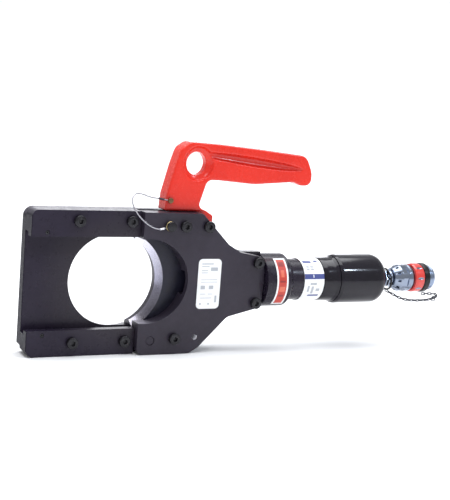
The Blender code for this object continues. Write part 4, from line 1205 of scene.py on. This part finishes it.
# --------------------------------------------------------------------- chain
chain_route = [(368.0, 10.6, -15.4), (371.5, 8.4, -17.4), (376.5, 5.2, -20.0), (382.0, 2.6, -22.8),
               (389.0, 0.5, -25.2), (398.2, -0.9, -26.7), (409.0, -1.6, -27.1), (420.0, -1.9, -26.9),
               (430.0, -1.6, -25.8), (437.4, -0.7, -24.0), (441.8, 1.0, -22.0), (442.6, 3.6, -21.0),
               (438.6, 6.4, -20.7), (431.4, 8.6, -20.8), (424.0, 9.8, -21.0)]
cpts, clen = curve_points(chain_route, 0.5)
PITCH = 4.3
count = int(clen / PITCH)
links = []
for k in range(count):
    s = (k + 0.5) / count * (len(cpts) - 1)
    i = int(s)
    p = cpts[i].lerp(cpts[min(i + 1, len(cpts) - 1)], s - i)
    t = (cpts[min(i + 4, len(cpts) - 1)] - cpts[max(i - 4, 0)]).normalized()
    n0 = Vector((0, 0, 1))
    n0 = (n0 - t * n0.dot(t)).normalized()
    b0 = t.cross(n0)
    roll_a = math.radians(20 + 90 * (k % 2))
    n1 = n0 * math.cos(roll_a) + b0 * math.sin(roll_a)
    half, rad = 1.45, 1.25
    loop = []
    for q in range(24):
        a = 2 * math.pi * q / 24
        cx = half if math.cos(a) > 0 else -half
        v = p + t * (cx + rad * math.cos(a)) + n1 * (rad * math.sin(a))
        v.x = min(v.x, 441.7)
        loop.append(v)
    links.append(tube("link%d" % k, loop, 0.66, 8, closed=True))
chain = join("cap_chain_links", links)
chain.data.shade_smooth()
chain.data.materials.clear()
chain.data.materials.append(M_CHAIN)
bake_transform(chain)
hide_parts("cap_chain")
ring_c = cpts[int(len(cpts) * 0.70)]
split_pts = [(min(ring_c.x, 438.6) + 2.8 * math.cos(a), ring_c.y + 0.6 * math.sin(2 * a), ring_c.z - 0.6 + 3.0 * math.sin(a))
             for a in [2 * math.pi * k / 48 for k in range(48)]]
split = tube("chain_split_ring", split_pts, 0.6, 10, closed=True)
dress(split, "cap", "wire_steel", M_CHAIN)

# --------------------------------------------------------------------- stage
bm = bmesh.new()
prof = [(-6.0, 0.0), (1.2, 0.0)] + [(1.2 + 1.2 * math.sin(math.radians(a)), 1.2 - 1.2 * math.cos(math.radians(a)))
                                    for a in range(6, 91, 6)] + [(2.4, 5.0)]
# sweep the profile along the camera's horizontal direction
hdir = Vector((math.sin(yaw), math.cos(yaw), 0))
sdir = Vector((math.cos(yaw), -math.sin(yaw), 0))
rows = []
for d, h in prof:
    rows.append([bm.verts.new(hdir * d + sdir * w + Vector((0, 0, h))) for w in (-8.0, 8.0)])
for A, B in zip(rows, rows[1:]):
    bm.faces.new((A[0], A[1], B[1], B[0]))
mesh = bpy.data.meshes.new("floor")
bm.to_mesh(mesh)
bm.free()
mesh.shade_smooth()
floor = new_object("floor", mesh)
k = Mat("floor_paper")
fb = k.noise(6.0, 3.0, 0.5)
floor.data.materials.append(k.set(color=k.ramp(fb, [(0.3, (0.93, 0.93, 0.93)), (0.7, (0.95, 0.95, 0.95))]), rough=0.9,
                                  spec=0.1))

world = bpy.data.worlds.new("studio")
bpy.context.scene.world = world
world.use_nodes = True
world.node_tree.nodes["Background"].inputs["Color"].default_value = (0.97, 0.98, 1.0, 1.0)
world.node_tree.nodes["Background"].inputs["Strength"].default_value = 0.62


def area(name, loc, target, size, power, colour=(1, 1, 1)):
    d = bpy.data.lights.new(name, "AREA")
    d.energy = power
    d.shape = "RECTANGLE"
    d.size, d.size_y = size
    d.color = colour
    o = bpy.data.objects.new(name, d)
    bpy.context.scene.collection.objects.link(o)
    o.location = loc
    o.rotation_euler = (Vector(target) - Vector(loc)).to_track_quat("-Z", "Y").to_euler()
    return o


area("key_top", (0.1, 0.3, 1.7), (0.05, 0.1, 0.0), (2.0, 1.6), 44.0, (0.95, 0.97, 1.0))
area("flash", (1.03, -1.02, 1.26), (0.13, 0.0, 0.10), (0.085, 0.055), 5.0, (0.74, 0.85, 1.0))
area("upper_left", (-0.7, -1.2, 1.5), (0.0, 0.0, 0.1), (0.5, 0.4), 5.0, (0.95, 0.95, 1.0))
back = area("back_edge", (0.45, 1.6, 0.42), (-0.1, 0.0, 0.15), (1.3, 0.34), 2.6, (0.94, 0.94, 1.0))
back.visible_camera = False
bpy.context.scene.view_settings.view_transform = "Standard"
bpy.context.scene.view_settings.look = "None"
